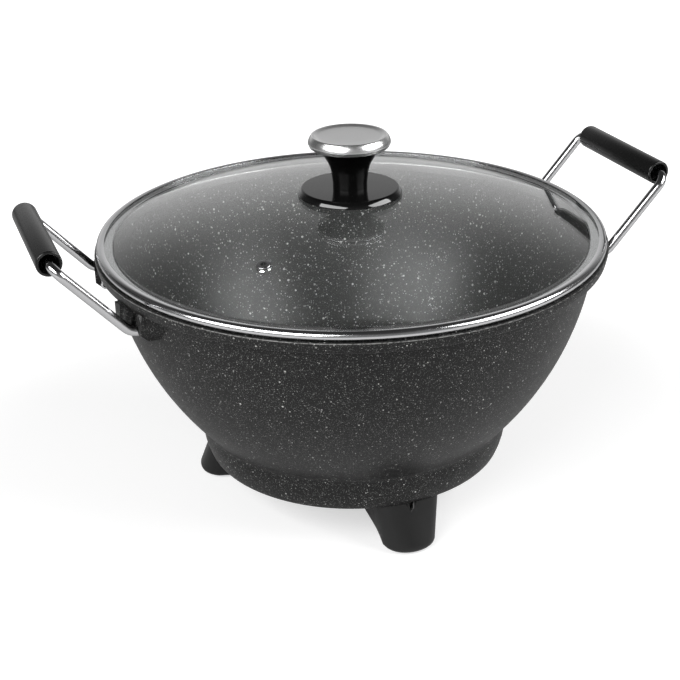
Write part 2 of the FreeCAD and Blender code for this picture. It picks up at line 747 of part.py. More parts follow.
def make_heater_plate():
    """The casting brazed under the floor: a ridge round the element and the probe's rib."""
    ridge = turned("element_ridge", [
        ("element_ridge_inner", "underside"),
        ("element_ridge_outer", "underside"),
        ("element_ridge_outer", "element_ridge_bottom"),
        ("element_ridge_inner", "element_ridge_bottom"),
    ])
    solid = fuse("heater_solid", [ridge, probe_boss()])
    probe_mouth = Vector(0, value("socket_inner"), value("element_height"))
    probe_end = probe_mouth - Vector(0, value("probe_bore_length"), 0)
    line, start = element_path(value("element_tail") + value("element_ridge_outer"))
    channel = swept(line, value("element_tube_radius") + value("element_play"), start, Vector(0, -1, 0))
    hollows = Part.makeCompound([rod(probe_end, probe_mouth, value("probe_bore_radius")), channel])
    return cut("heater_plate", solid, feature("heater_hollows", hollows))


wok_pan = make_wok_pan()
heater_plate = make_heater_plate()


# ---------------------------------------------------------------- terminals and socket

def make_terminals():
    """Two contact pins that stand on the element's ends, each in a ceramic bush."""
    pieces = []
    for side_name, side in SIDES.items():
        start = Vector(side * element_end.x, element_end.y, element_end.z)
        front = Vector(start.x, value("pin_reach"), start.z)
        pin = rod(start, front, value("pin_radius"))
        tip_edge = [edge for edge in pin.Edges if isinstance(edge.Curve, Part.Circle)
                    and abs(edge.Curve.Center.y - front.y) < SAME]
        pieces.append(feature("terminal_pin_" + side_name,
                              pin.makeFillet(value("pin_radius") * PIN_ROUND, tip_edge)))
        bush_end = start + Vector(0, value("insulator_length"), 0)
        bush = rod(start, bush_end, value("insulator_radius"))
        bore = rod(start, bush_end, value("pin_radius") + value("pin_play"))
        pieces.append(feature("terminal_insulator_" + side_name, bush.cut(bore)))
    return pieces


def make_inlet_housing():
    """The shroud round the pins, open to the back."""
    wide = value("socket_half_width")
    low, high = value("cover_top"), value("underside")
    inner, outer = value("socket_inner"), value("socket_outer")
    wall = value("socket_wall")
    shell = block((-wide, inner, low), (wide, outer, high))
    upright = [edge for edge in shell.Edges
               if abs(edge.Vertexes[0].Point.y - edge.Vertexes[-1].Point.y) > SAME]
    shell = shell.makeFillet(wall * CORNER_ROUND, upright)
    floor = max(element_end.y + value("insulator_length"), inner + wall)
    roof = value("socket_roof")
    cavity = block((-wide + wall, floor, low + roof), (wide - wall, outer + THROUGH, high - roof))
    shell = shell.cut(cavity)
    height = value("element_height")
    for side in SIDES.values():
        x = side * value("pin_half_spacing")
        shell = shell.cut(rod(Vector(x, inner - THROUGH, height), Vector(x, floor + THROUGH, height),
                              value("insulator_radius") + value("pin_play")))
    probe = value("probe_bore_radius") + value("socket_play")
    shell = shell.cut(rod(Vector(0, inner - THROUGH, height), Vector(0, floor + THROUGH, height), probe))
    return feature("inlet_housing", shell), floor


terminals = make_terminals()
inlet_housing, socket_floor = make_inlet_housing()
earth_low = value("cover_top") + value("socket_roof")
earth_contact = feature("earth_contact", block(
    (-value("earth_width") / 2, socket_floor, earth_low),
    (value("earth_width") / 2, value("pin_reach") - value("earth_recess"),
     earth_low + value("earth_thickness"))))


# ---------------------------------------------------------------- base cover

def make_base_cover():
    """A pressed plate that closes the skirt, with vent slots and a gap for the socket's floor."""
    low, high = value("skirt_clearance"), value("cover_top")
    plate = Part.makeCylinder(value("cover_radius"), high - low, Vector(0, 0, low))
    hole = value("screw_radius") + value("screw_play")
    tools = []
    for degrees in LEG_ANGLES.values():
        spot = polar(value("leg_screw_reach"), degrees, low - THROUGH)
        tools.append(rod(spot, spot + Vector(0, 0, high - low + 2 * THROUGH), hole))
    for degrees in COVER_SCREW_ANGLES:
        spot = polar(value("cover_boss_reach"), degrees, low - THROUGH)
        tools.append(rod(spot, spot + Vector(0, 0, high - low + 2 * THROUGH), hole))
    slot = block((value("cover_slot_inner"), -value("cover_slot_width") / 2, low - THROUGH),
                 (value("cover_slot_outer"), value("cover_slot_width") / 2, high + THROUGH))
    slot = slot.makeFillet(value("cover_slot_width") * HEAD_ROUND,
                           [edge for edge in slot.Edges
                            if abs(edge.Vertexes[0].Point.z - edge.Vertexes[-1].Point.z) > SAME])
    for turn in range(SLOT_COUNT):
        one = slot.copy()
        one.rotate(Vector(0, 0, 0), Vector(0, 0, 1), turn * FULL_TURN / SLOT_COUNT)
        tools.append(one)
    return feature("base_cover", plate.cut(tools))


base_cover = make_base_cover()


def screw_group(label, places_and_tips, radius, head_radius, head):
    """Identical screws as one group of separate solids."""
    solids = [pan_head_screw(seat, tip, radius, head_radius, head) for seat, tip in places_and_tips]
    return feature(label, Part.makeCompound(solids))


screw_tip_height = value("cover_top") + value("screw_bite")
cover_screws = screw_group("cover_screws", [
    (polar(value("cover_boss_reach"), degrees, value("skirt_clearance")),
     polar(value("cover_boss_reach"), degrees, screw_tip_height)) for degrees in COVER_SCREW_ANGLES],
    value("screw_radius"), value("screw_head_radius"), value("screw_head"))
leg_screws = screw_group("leg_screws", [
    (polar(value("leg_screw_reach"), degrees, value("leg_web_under")),
     polar(value("leg_screw_reach"), degrees, screw_tip_height)) for degrees in LEG_ANGLES.values()],
    value("screw_radius"), value("screw_head_radius"), value("screw_head"))


# ---------------------------------------------------------------- legs and feet

def leg_section(body, name, lift, front, side, inner, arcs):
    """A section across the leg, pointing along +X: a round front, two side runs and a flat back.

    front, side and inner are the (reach, half width) cells of its corners, and arcs names the radii
    of its front and of its two front corners.
    """
    sketch = new_sketch(body, name, "XY_Plane", lift)
    front_curve, corner_curve = arcs
    draw_outline(sketch, [front, front, side, inner, inner, side],
                 {0: (front_curve, -1), 1: (corner_curve, -1), 5: (corner_curve, -1)}, flip=(0, 4, 5))
    return sketch


def make_leg(name, degrees):
    """A moulded leg: lofted from the skirt's edge down to the foot, rounded, bored and notched."""
    body = doc.addObject("PartDesign::Body", "leg_form_" + name)
    top = leg_section(body, "leg_top_" + name, "skirt_clearance",
                      ("leg_top_front_reach", "leg_top_front_half"),
                      ("leg_top_side_reach", "leg_top_side_half"),
                      ("leg_top_inner_reach", "leg_top_inner_half"),
                      ("skirt_low_radius", "leg_top_corner"))
    foot = leg_section(body, "leg_foot_" + name, "leg_bottom",
                       ("leg_foot_front_reach", "leg_foot_front_half"),
                       ("leg_foot_centre", "leg_foot_radius"),
                       ("leg_foot_inner_reach", "leg_foot_inner_half"),
                       ("leg_foot_radius", "leg_foot_radius"))
    doc.recompute()
    loft = body.newObject("PartDesign::AdditiveLoft", "leg_loft_" + name)
    loft.Profile = top
    loft.Sections = [foot]
    loft.Ruled = True
    body.Tip = loft
    doc.recompute()
    low, high = value("leg_bottom"), value("skirt_clearance")
    back = value("leg_foot_inner_reach") + THROUGH
    long_edges = [f"Edge{number}" for number, edge in enumerate(loft.Shape.Edges, start=1)
                  if edge.BoundBox.ZLength > (high - low) / 2 and edge.BoundBox.XMax < back]
    round_edges(body, long_edges, "leg_corner_round")
    foot_edges = [f"Edge{number}" for number, edge in enumerate(body.Tip.Shape.Edges, start=1)
                  if edge.BoundBox.ZMax < low + SAME]
    round_edges(body, foot_edges, "leg_foot_round")
    reach = value("leg_screw_reach")
    web = value("leg_web_under")
    recess = value("pad_thickness")
    notch = value("leg_notch_width") / 2
    outer = value("skirt_low_radius")
    tools = [
        rod(Vector(reach, 0, low - THROUGH), Vector(reach, 0, web), value("leg_bore_radius")),
        rod(Vector(reach, 0, web - THROUGH), Vector(reach, 0, high + THROUGH),
            value("screw_radius") + value("screw_play")),
        rod(Vector(value("pad_reach"), 0, low - THROUGH), Vector(value("pad_reach"), 0, recess),
            value("pad_radius") + value("pad_play")),
        block((outer - value("leg_notch_depth"), -notch, high - value("leg_notch_height")),
              (outer + value("leg_notch_depth"), notch, high + THROUGH)),
    ]
    leg = cut("leg_" + name, body, feature("leg_hollows_" + name, Part.makeCompound(tools)))
    leg.Placement = Placement(Vector(0, 0, 0), Rotation(Vector(0, 0, 1), degrees))
    return leg


def make_foot_pad(name, degrees):
    """A rubber disc that closes the leg's bore and stands on the table."""
    pad = Part.makeCylinder(value("pad_radius"), value("pad_thickness"))
    lower = [edge for edge in pad.Edges if isinstance(edge.Curve, Part.Circle)
             and abs(edge.Curve.Center.z) < SAME]
    pad = pad.makeFillet(value("pad_proud") * EDGE_ROUND, lower)
    return feature("foot_pad_" + name, pad,
                   Placement(polar(value("pad_reach"), degrees), Rotation()))


legs = [make_leg(name, degrees) for name, degrees in LEG_ANGLES.items()]
foot_pads = [make_foot_pad(name, degrees) for name, degrees in LEG_ANGLES.items()]


# ---------------------------------------------------------------- handles

def bent_path(points, bends):
    """Straight runs through points, with a tangent arc of a given radius at each inner point."""
    edges = []
    last = points[0]
    for number, radius in enumerate(bends, start=1):
        corner = points[number]
        before = (points[number - 1] - corner).normalize()
        after = (points[number + 1] - corner).normalize()
        half = before.getAngle(after) / 2
        reach = radius / math.tan(half)
        start = corner + before * reach
        end = corner + after * reach
        to_centre = (before + after).normalize()
        middle = corner + to_centre * (radius / math.sin(half) - radius)
        edges.append(Part.makeLine(last, start))
        edges.append(Part.Arc(start, middle, end).toShape())
        last = end
    edges.append(Part.makeLine(last, points[-1]))
    return Part.Wire(edges)


def make_handle_wire(name, side):
    """One wire: in from a lug, up and out, along the grip, and back down to the other lug."""
    span = value("wire_half_span")
    seat = value("lug_pocket_floor") - value("wire_seat_depth")
    height = value("wire_seat_height")
    foot = value("grip_foot_reach")
    reach, top = value("grip_reach"), value("grip_height")
    half = [Vector(side * seat, span, height), Vector(side * foot, span, height),
            Vector(side * reach, span, top)]
    other = [Vector(point.x, -point.y, point.z) for point in reversed(half)]
    low, high = value("wire_low_bend"), value("wire_high_bend")
    path = bent_path(half + other, [low, high, high, low])
    shape = swept(path, value("wire_radius"), half[0], Vector(1, 0, 0))
    return feature("handle_wire_" + name, shape)


def make_grip(name, side):
    """A hollow-ended sleeve that turns on the wire."""
    half = value("grip_length") / 2
    deep = half - value("grip_hollow_depth")
    bore = value("wire_radius") + value("grip_play")
    outer, hollow, edge = value("grip_radius"), value("grip_hollow_radius"), value("grip_end_round")
    solid = Part.makeCylinder(outer, 2 * half, Vector(0, -half, 0), Vector(0, 1, 0))
    rims = [item for item in solid.Edges if isinstance(item.Curve, Part.Circle)]
    solid = solid.makeFillet(edge, rims)
    solid = solid.cut(rod(Vector(0, -half - THROUGH, 0), Vector(0, half + THROUGH, 0), bore))
    for end in (-1, 1):
        cone = Part.makeCone(bore, hollow, hollow - bore, Vector(0, end * (deep - hollow + bore), 0),
                             Vector(0, end, 0))
        mouth = Vector(0, end * (half + THROUGH), 0)
        solid = solid.cut(cone.fuse(rod(Vector(0, end * deep, 0), mouth, hollow)))
    return feature("handle_grip_" + name, solid,
                   Placement(Vector(side * value("grip_reach"), 0, value("grip_height")), Rotation()))


handle_wires = [make_handle_wire(name, side) for name, side in SIDES.items()]
handle_grips = [make_grip(name, side) for name, side in SIDES.items()]
lug_screws = [screw_group("lug_screws_" + name, [lug_screw_line(side, end) for end in (-1, 1)],
                          value("lug_screw_radius"), value("lug_screw_head_radius"),
                          value("lug_screw_head")) for name, side in SIDES.items()]


# ---------------------------------------------------------------- lid

def vent_frame():
    """Place and lean of the vent: its axis stands square to the dome."""
    reach = value("vent_reach")
    centre = Vector(0, 0, value("dome_centre"))
    surface = math.sqrt(value("glass_curve") ** 2 - reach ** 2)
    spot = polar(reach, value("vent_angle"), value("dome_centre") + surface)
    outward = (spot - centre).normalize()
    return spot, outward


def make_lid_glass():
    """The glass: a flat edge in the ring's channel and a dome, bored for the screw and the vent."""
    blank = turned("glass_blank", [
        ("glass_edge_radius", "glass_low"),
        ("glass_edge_radius", "glass_high"),
        ("glass_dome_edge", "glass_high"),
        ("glass_bore", "bore_high"),
        ("glass_bore", "bore_low"),
        ("dome_inner_edge", "glass_low"),
    ], {2: ("glass_curve", -1), 4: ("glass_inner_curve", 1)})
    spot, outward = vent_frame()
    deep = value("glass_thickness") * 2
    hole = rod(spot - outward * deep, spot + outward * deep, value("vent_tube_radius") + value("vent_play"))
    return cut("lid_glass", blank, feature("vent_bore", hole))


def make_vent_grommet():
    """A metal eyelet whose two flanges clamp the glass."""
    thick = value("glass_thickness") + value("vent_play") / 2
    flange = value("vent_flange")
    up = Vector(0, 0, 1)
    body = Part.makeCylinder(value("vent_tube_radius"), thick, Vector(0, 0, -thick), up)
    for low in (0.0, -thick - flange):
        rim = Part.makeCylinder(value("vent_flange_radius"), flange, Vector(0, 0, low), up)
        outer = [edge for edge in rim.Edges if isinstance(edge.Curve, Part.Circle)
                 and abs(edge.Curve.Center.z - (low + flange if low == 0.0 else low)) < SAME]
        body = body.fuse(rim.makeFillet(flange * EDGE_ROUND, outer))
    bore_low = Vector(0, 0, -thick - flange - THROUGH)
    bore = Part.makeCylinder(value("vent_hole_radius"), thick + 2 * (flange + THROUGH), bore_low, up)
    spot, outward = vent_frame()
    return feature("vent_grommet", body.cut(bore).removeSplitter(), Placement(spot, Rotation(up, outward)))


def make_lid_rim():
    """The rolled steel ring: a channel round the glass and a short skirt inside the bowl's mouth."""
    return turned("lid_rim", [
        ("ring_inner", "ring_edge_low"),
        ("ring_inner", "ring_edge_high"),
        ("ring_nose_axis", "ring_crown"),
        ("ring_radius", "ring_middle"),
        ("ring_nose_axis", "ring_bottom"),
        ("ring_fold", "ring_bottom"),
        ("ring_skirt_radius", "ring_fold_height"),
        ("ring_skirt_radius", "ring_skirt_bottom"),
        ("ring_skirt_inner", "ring_skirt_bottom"),
        ("ring_skirt_inner", "ring_fold_top"),
        ("ring_fold_inner", "ring_channel_low"),
        ("ring_nose_axis", "ring_channel_low"),
        ("ring_nose_edge", "ring_middle"),
        ("ring_nose_axis", "ring_channel_high"),
    ], {2: ("ring_nose", 1), 3: ("ring_nose", 1), 11: ("ring_nose_inner", -1),
        12: ("ring_nose_inner", -1)})


lid_glass = make_lid_glass()
vent_grommet = make_vent_grommet()
lid_rim = make_lid_rim()


# ---------------------------------------------------------------- knob

def make_knob_body():
    """The moulded knob: a broad flange, a waist and a flared top that fills the cap."""
    blank = turned("knob_blank", [
        (None, "knob_seat"),
        ("knob_seat_radius", "knob_seat"),
        ("knob_seat_radius", "knob_hollow_top"),
        ("knob_hollow_radius", "knob_hollow_top"),
        ("knob_hollow_radius", "knob_edge_low"),
        ("knob_flange_radius", "knob_edge_low"),
        ("knob_flange_top_radius", "knob_flange_top"),
        ("knob_foot_radius", "knob_flange_top"),
        ("knob_neck_radius", "knob_neck_low_height"),
        ("knob_neck_mid_radius", "knob_neck_mid_height"),
        ("knob_throat_radius", "knob_throat_height"),
        ("knob_shoulder_radius", "knob_shoulder_height"),
        ("plug_lip_radius", "cap_lip_height"),
        ("plug_radius", "cap_waist"),
        ("plug_crest_radius", "cap_inner_top"),
        (None, "cap_inner_top"),
    ], {8: ("knob_neck_curve", -1), 9: ("knob_throat_curve", -1), 10: ("knob_shoulder_curve", -1)})
    bore = cylinder("knob_screw_bore", "knob_bore_radius", "Sizes.knob_screw_bite",
                    (0, 0, value("knob_seat")))
    return cut("knob_body", blank, bore)


def make_knob_cap():
    """The pressed steel cap: a dished top, a crest, a rounded side and a lip."""
    return turned("knob_cap", [
        (None, "cap_inner_top"),
        ("cap_inner_crest_radius", "cap_inner_top"),
        ("cap_inner_radius", "cap_waist"),
        ("cap_inner_lip_radius", "cap_lip_height"),
        ("cap_lip_radius", "cap_lip_height"),
        ("cap_radius", "cap_waist"),
        ("cap_crest_radius", "cap_top"),
        ("cap_dish_radius", "cap_dish"),
        (None, "cap_dish"),
    ], {5: ("cap_side_curve", -1)})


knob_body = make_knob_body()
knob_cap = make_knob_cap()
knob_seal_upper = turned("knob_seal_upper", [
    ("seal_bore", "seal_low"), ("seal_radius", "seal_low"),
    ("seal_radius", "knob_seat"), ("seal_bore", "knob_seat")])
knob_seal_lower = turned("knob_seal_lower", [
    ("seal_bore", "washer_seal_low"), ("washer_radius", "washer_seal_low"),
    ("washer_radius", "washer_seal_top"), ("seal_bore", "washer_seal_top")])
knob_washer = turned("knob_washer", [
    ("seal_bore", "washer_low"), ("washer_radius", "washer_low"),
    ("washer_radius", "washer_seal_low"), ("seal_bore", "washer_seal_low")])
knob_screw = feature("knob_screw", pan_head_screw(
    Vector(0, 0, value("washer_low")), Vector(0, 0, value("knob_screw_tip")),
    value("knob_screw_radius"), value("knob_screw_head_radius"), value("knob_screw_head")))


# ---------------------------------------------------------------- check and write

NODES = ([wok_pan, heater_plate, heating_element, inlet_housing, earth_contact, base_cover,
          cover_screws, leg_screws, lid_glass, vent_grommet, lid_rim, knob_body, knob_cap,
          knob_seal_upper, knob_seal_lower, knob_washer, knob_screw]
         + terminals + legs + foot_pads + handle_wires + handle_grips + lug_screws)

doc.recompute()
for item in doc.Objects:
    if "Invalid" in item.State or "Error" in item.State:
        raise RuntimeError(item.Name + " did not build")
for node in NODES:
    if node.Shape.isNull() or not node.Shape.isValid():
        raise RuntimeError(node.Label + " is not a valid shape")
    if not node.Shape.Solids:
        raise RuntimeError(node.Label + " has no solid")

os.makedirs("parts", exist_ok=True)
for node in NODES:
    node.Shape.exportStep(f"parts/{node.Label}.step")
    print(f"{node.Label}: {len(node.Shape.Solids)} solid(s), {node.Shape.Volume / MM3_IN_CM3:.2f} cm3")
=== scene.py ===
"""Looks of an electric wok: finishes, turned and bent pieces, a plain studio and the camera.

Lengths are in metres. +Z is up, +X runs through the handles and +Y points to the back.
Shapes are worked out in millimetres and scaled once, when they become meshes.
"""
import json

import bmesh
import bpy
import numpy as np
from mathutils import Matrix, Vector


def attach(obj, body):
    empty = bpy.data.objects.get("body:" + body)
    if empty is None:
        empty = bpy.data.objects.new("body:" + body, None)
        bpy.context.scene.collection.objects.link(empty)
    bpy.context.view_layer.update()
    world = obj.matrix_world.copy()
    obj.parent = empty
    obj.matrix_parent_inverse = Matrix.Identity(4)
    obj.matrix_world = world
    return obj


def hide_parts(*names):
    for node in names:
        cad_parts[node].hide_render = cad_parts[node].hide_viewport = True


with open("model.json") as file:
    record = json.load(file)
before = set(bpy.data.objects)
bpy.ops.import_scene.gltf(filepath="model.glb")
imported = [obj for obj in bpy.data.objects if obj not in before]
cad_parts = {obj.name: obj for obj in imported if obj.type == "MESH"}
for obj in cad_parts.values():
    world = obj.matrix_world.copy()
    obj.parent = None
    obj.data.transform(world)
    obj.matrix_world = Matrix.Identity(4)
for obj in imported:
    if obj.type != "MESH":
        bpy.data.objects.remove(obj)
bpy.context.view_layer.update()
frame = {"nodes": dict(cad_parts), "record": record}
nodes = frame["nodes"]

MM = 0.001
SAME_PLACE = 2e-6           # metres: corners nearer than this are joined
SAME_POINT = 1e-4           # millimetres: points of a line nearer than this count as one
SMOOTH_ANGLE = 28.0         # degrees up to which two faces shade as one
LEG_SMOOTH_ANGLE = 14.0     # less, so that the slots in the legs stay crisp
GLASS_SMOOTH_ANGLE = 11.0   # less, so that the glass has a clear bend at its flat edge zone


# ---------------------------------------------------------------- sizes, in millimetres
# A pair in brackets is a point of an outline: its distance from the axis and its height.

# bowl: the rim's edge and top, and the arc of the wall's inside
LIP_REACH, LIP_HEIGHT, LIP_ROUND = 161.5, 175.6, 0.9
BOWL_CENTRE, BOWL_AXIS, BOWL_CURVE, HALF_WALL = -44.54, 189.49, 195.6, 1.6

# handle wires: seat in the lug, foot of the slope, half the span and the bends
WIRE_RADIUS, WIRE_SPAN = 3.0, 52.5
WIRE_SEAT, WIRE_FOOT, WIRE_FOOT_HEIGHT = 145.5, 155.6, 158.3
WIRE_LOW_BEND, WIRE_HIGH_BEND = 10.0, 8.0

# grips: a sleeve on the wire, with a hollow at each end that narrows to the bore
GRIP_REACH, GRIP_HEIGHT, GRIP_HALF, GRIP_RADIUS = 195.8, 203.3, 44.2, 7.59
GRIP_BORE, GRIP_BORE_HALF, GRIP_HOLLOW, GRIP_HOLLOW_FLOOR = 3.08, 36.2, 5.8, 38.9
GRIP_ROUNDS = [0.3, 0.4, 0.5, 1.0]

# glass: a dome of one curve on a flat edge zone, with a bore for the knob's screw
DOME_CENTRE, DOME_CURVE, DOME_FOOT, DOME_FOOT_UNDER = -275.78, 480.0, 149.8, 149.1
GLASS, GLASS_LOW, GLASS_EDGE, GLASS_ROUND, GLASS_BORE = 4.0, 176.25, 157.2, 1.2, 4.2
GLASS_HIGH = GLASS_LOW + GLASS

# rows of points on the flat edge zone, close together at its bend so that it shades flat
FLAT_ZONE = (155.0, 153.5, 152.0, 151.0, 150.3, 150.0)
FLAT_ZONE_UNDER = (149.4, 150.0, 151.0, 152.5, 154.0)

# vent, drilled square to the dome
VENT_REACH, VENT_ANGLE, VENT_BORE = 104.0, np.radians(-139.5), 2.9
DRILL_LOW, DRILL_HIGH = -12.0, 6.0

# ring: sheet rolled round the edge of the glass, with a skirt that centres the lid in the bowl
NOSE_AXIS, NOSE, MIDDLE, SHEET = 157.35, 2.65, 178.25, 0.6
NOSE_TIP, NOSE_LOW = (NOSE_AXIS + NOSE, MIDDLE), (NOSE_AXIS, MIDDLE - NOSE)
NOSE_INSIDE = NOSE - SHEET
RING_EDGE, RING_UNDER, RING_TOP, RING_BREAK = 155.0, 180.45, 180.78, 0.12
CROWN, CROWN_CURVE, NOSE_CURVE = (157.0, 181.08), 9.0, 2.95
PLATE_UNDER, FOLD = MIDDLE - NOSE, 1.0
SKIRT, SKIRT_FOOT, SKIRT_BREAK, SKIRT_BREAK_HEIGHT = 148.9, 169.8, 0.15, 0.2

# knob: seat on the seal, hollow under the flange, flange with a bevel, waist and shoulder
KNOB_BORE, SEAT_RADIUS, SEAT_HEIGHT = 2.55, 13.0, 205.2
HOLLOW_RADIUS, HOLLOW_TOP, HOLLOW_BREAK, HOLLOW_BREAK_HEIGHT = 30.3, 207.1, 0.15, 0.16
FLANGE_RADIUS, FLANGE_LOW, FLANGE_TOP, FLANGE_ROUND = 32.9, 203.59, 207.69, 0.7
FLANGE_SIDE, BEVEL_FOOT, FLANGE_SIDE_CURVE = (32.85, 204.45), (31.05, 207.0), 10.0
BEVEL_START, BEVEL_END, BEVEL_CURVE = (30.9, 207.12), (29.5, FLANGE_TOP), 1.9
WAIST_FOOT = [(10.8, FLANGE_TOP), (10.78, 208.4)]
WAIST_LOW, WAIST_HIGH, WAIST_CURVE = (10.75, 210.4), (11.9, 219.19), 120.0
THROAT, THROAT_CURVE = (15.4, 226.89), 24.0
SHOULDER, SHOULDER_CURVE = (23.6, 234.19), 14.0
UNDER_CAP = [(23.3, 234.25), (24.6, 237.69), (21.9, 239.1), (KNOB_BORE, 239.19)]

# cap: a steel shell over the shoulder, with a raised crest round a shallow brushed dish
CAP_INSIDE = [(0, 239.24), (21.95, 239.24), (24.75, 237.69), (23.45, 234.25), SHOULDER]
CAP_LIP, CAP_LIP_TOP, CAP_LIP_ROUND = (24.4, 234.19), (24.9, 234.6), 0.5
CAP_FLARE, CAP_WIDEST, CAP_FLARE_CURVE = (25.5, 235.9), (25.7, 236.9), 1.2
CAP_SIDE_TOP, CAP_SIDE_CURVE = (23.9, 240.8), 9.0
CAP_CREST, CAP_CREST_ROUND, CAP_BRUSHED = (22.9, 241.36), 1.1, 22.6
CREST_INSIDE, CREST_INSIDE_CURVE = (21.2, 240.95), 3.2
DISH_START, DISH_END, DISH_CURVE = (20.8, 240.76), (18.8, 240.3), 6.0
DISH_FLOOR = [(12.0, 240.2), (0, 240.19)]


# ---------------------------------------------------------------- lines and arcs

def unit(vector):
    """The vector at length 1."""
    return vector / np.linalg.norm(vector)


def ball_arc(centre_height, radius, start, end, steps):
    """Points (r, z) on a circle about (0, centre height), evenly spaced in r, on its upper half."""
    reach = np.linspace(start, end, steps)
    return np.stack([reach, centre_height + np.sqrt(radius ** 2 - reach ** 2)], -1)


def bulged(start, end, radius, side, steps):
    """Points on an arc from start to end with a radius, bulging to the left (+1) or right (-1).

    The arc's centre lies on the other side of the chord, sqrt(radius ^ 2 - (chord / 2) ^ 2) away.
    """
    start, end = np.asarray(start, float), np.asarray(end, float)
    chord = end - start
    half = np.linalg.norm(chord) / 2
    left = np.array([-chord[1], chord[0]]) / (2 * half)
    centre = (start + end) / 2 - left * side * np.sqrt(radius ** 2 - half ** 2)
    first, last = start - centre, end - centre
    total = np.arctan2(first[0] * last[1] - first[1] * last[0], first @ last)
    angle = np.linspace(0, total, steps)[:, None]
    crossed = np.array([-first[1], first[0]])
    return centre + first * np.cos(angle) + crossed * np.sin(angle)


def arcs(start, *bends):
    """Arcs that follow each other from a start, each given as its end, radius, side and steps."""
    line = [np.array([start], float)]
    for end, radius, side, steps in bends:
        line.append(bulged(line[-1][-1], end, radius, side, steps)[1:])
    return np.concatenate(line)


def corner_arc(before, corner, after, radius, steps):
    """Points on the arc that touches the two straight runs which meet at a corner.

    Its centre lies on the corner's bisector, radius / sin(half the corner's angle) away. At share s
    of the arc's angle t, a point is centre + (first sin((1 - s) t) + last sin(s t)) / sin t, where
    first and last run from the centre to the arc's two ends.
    """
    before, after = unit(before - corner), unit(after - corner)
    half = np.arccos(np.clip(before @ after, -1, 1)) / 2
    centre = corner + unit(before + after) * radius / np.sin(half)
    first = corner + before * radius / np.tan(half) - centre
    last = corner + after * radius / np.tan(half) - centre
    total = np.arccos(np.clip(first @ last / radius ** 2, -1, 1))
    share = np.linspace(0, 1, steps)[:, None]
    return centre + (first * np.sin((1 - share) * total) + last * np.sin(share * total)) / np.sin(total)


def rounded(corners, radii, steps=7):
    """The arcs at the first corners of a closed outline, one for each of the radii."""
    corners = np.asarray(corners, float)
    return np.concatenate([
        corner_arc(corners[k - 1], corners[k], corners[(k + 1) % len(corners)], radius, steps)
        for k, radius in enumerate(radii)
    ])


def straight(start, end, spacing):
    """Points from start up to, but without, end, about one spacing apart."""
    count = max(int(np.linalg.norm(end - start) / spacing), 2)
    return start + (end - start) * np.linspace(0, 1, count, endpoint=False)[:, None]


def bent_line(corners, radii, steps=16, spacing=5.0):
    """Points along straight runs through corners, with a tangent arc at each inner corner."""
    corners = np.asarray(corners, float)
    runs = []
    last = corners[0]
    for k, radius in enumerate(radii, start=1):
        bend = corner_arc(corners[k - 1], corners[k], corners[k + 1], radius, steps)
        runs += [straight(last, bend[0], spacing), bend]
        last = bend[-1]
    line = np.concatenate(runs + [straight(last, corners[-1], spacing), corners[-1:]])
    keep = np.r_[True, np.linalg.norm(np.diff(line, axis=0), axis=1) > SAME_POINT]
    return line[keep]


# ---------------------------------------------------------------- meshes from arrays

def surface_piece(name, points, closed_along=False, closed_across=False):
    """A grid of points (along, across, xyz) in millimetres as an object of four-sided faces.

    Face (i, j) joins points (i, j), (i + 1, j), (i + 1, j + 1) and (i, j + 1), with numbers taken
    round where the grid is closed. All faces are turned over if the volume they enclose is negative.
    """
    along, across = points.shape[:2]
    i = np.arange(along if closed_along else along - 1)
    j = np.arange(across if closed_across else across - 1)
    near, side = np.meshgrid(i, j, indexing="ij")
    far, next_side = (near + 1) % along, (side + 1) % across
    faces = np.stack([near * across + side, far * across + side,
                      far * across + next_side, near * across + next_side], -1).reshape(-1, 4)
    corners = points.reshape(-1, 3)
    a, b, c, d = (corners[faces[:, k]] for k in range(4))
    volume = np.einsum("ij,ij->", a, np.cross(b, c)) + np.einsum("ij,ij->", a, np.cross(c, d))
    if volume < 0:
        faces = faces[:, ::-1]
    mesh = bpy.data.meshes.new(name)
    mesh.vertices.add(len(corners))
    mesh.vertices.foreach_set("co", (corners * MM).astype(np.float32).ravel())
    mesh.loops.add(faces.size)
    mesh.loops.foreach_set("vertex_index", np.ascontiguousarray(faces, np.int32).ravel())
    mesh.polygons.add(len(faces))
    mesh.polygons.foreach_set("loop_start", np.arange(0, faces.size, 4, dtype=np.int32))
    mesh.update(calc_edges=True)
    clean_and_smooth(mesh, SMOOTH_ANGLE)
    return placed(name, mesh)


def placed(name, data):
    """A new object in the scene for a mesh, a lamp or a camera."""
    piece = bpy.data.objects.new(name, data)
    bpy.context.scene.collection.objects.link(piece)
    return piece


def clean_and_smooth(mesh, angle):
    """Join corners that lie on each other, drop faces without area, and shade smooth up to an angle."""
    work = bmesh.new()
    work.from_mesh(mesh)
    bmesh.ops.remove_doubles(work, verts=work.verts, dist=SAME_PLACE)
    bmesh.ops.dissolve_degenerate(work, edges=work.edges, dist=SAME_PLACE / 4)
    work.to_mesh(mesh)
    work.free()
    mesh.polygons.foreach_set("use_smooth", np.ones(len(mesh.polygons), bool))
    mesh.set_sharp_from_angle(angle=np.radians(angle))
    mesh.update()


def smooth_copy(name, node, angle):
    """A node's own solid as one joined, smoothly shaded mesh."""
    mesh = nodes[node].data.copy()
    mesh.name = name
    mesh.materials.clear()
    clean_and_smooth(mesh, angle)
    return placed(name, mesh)


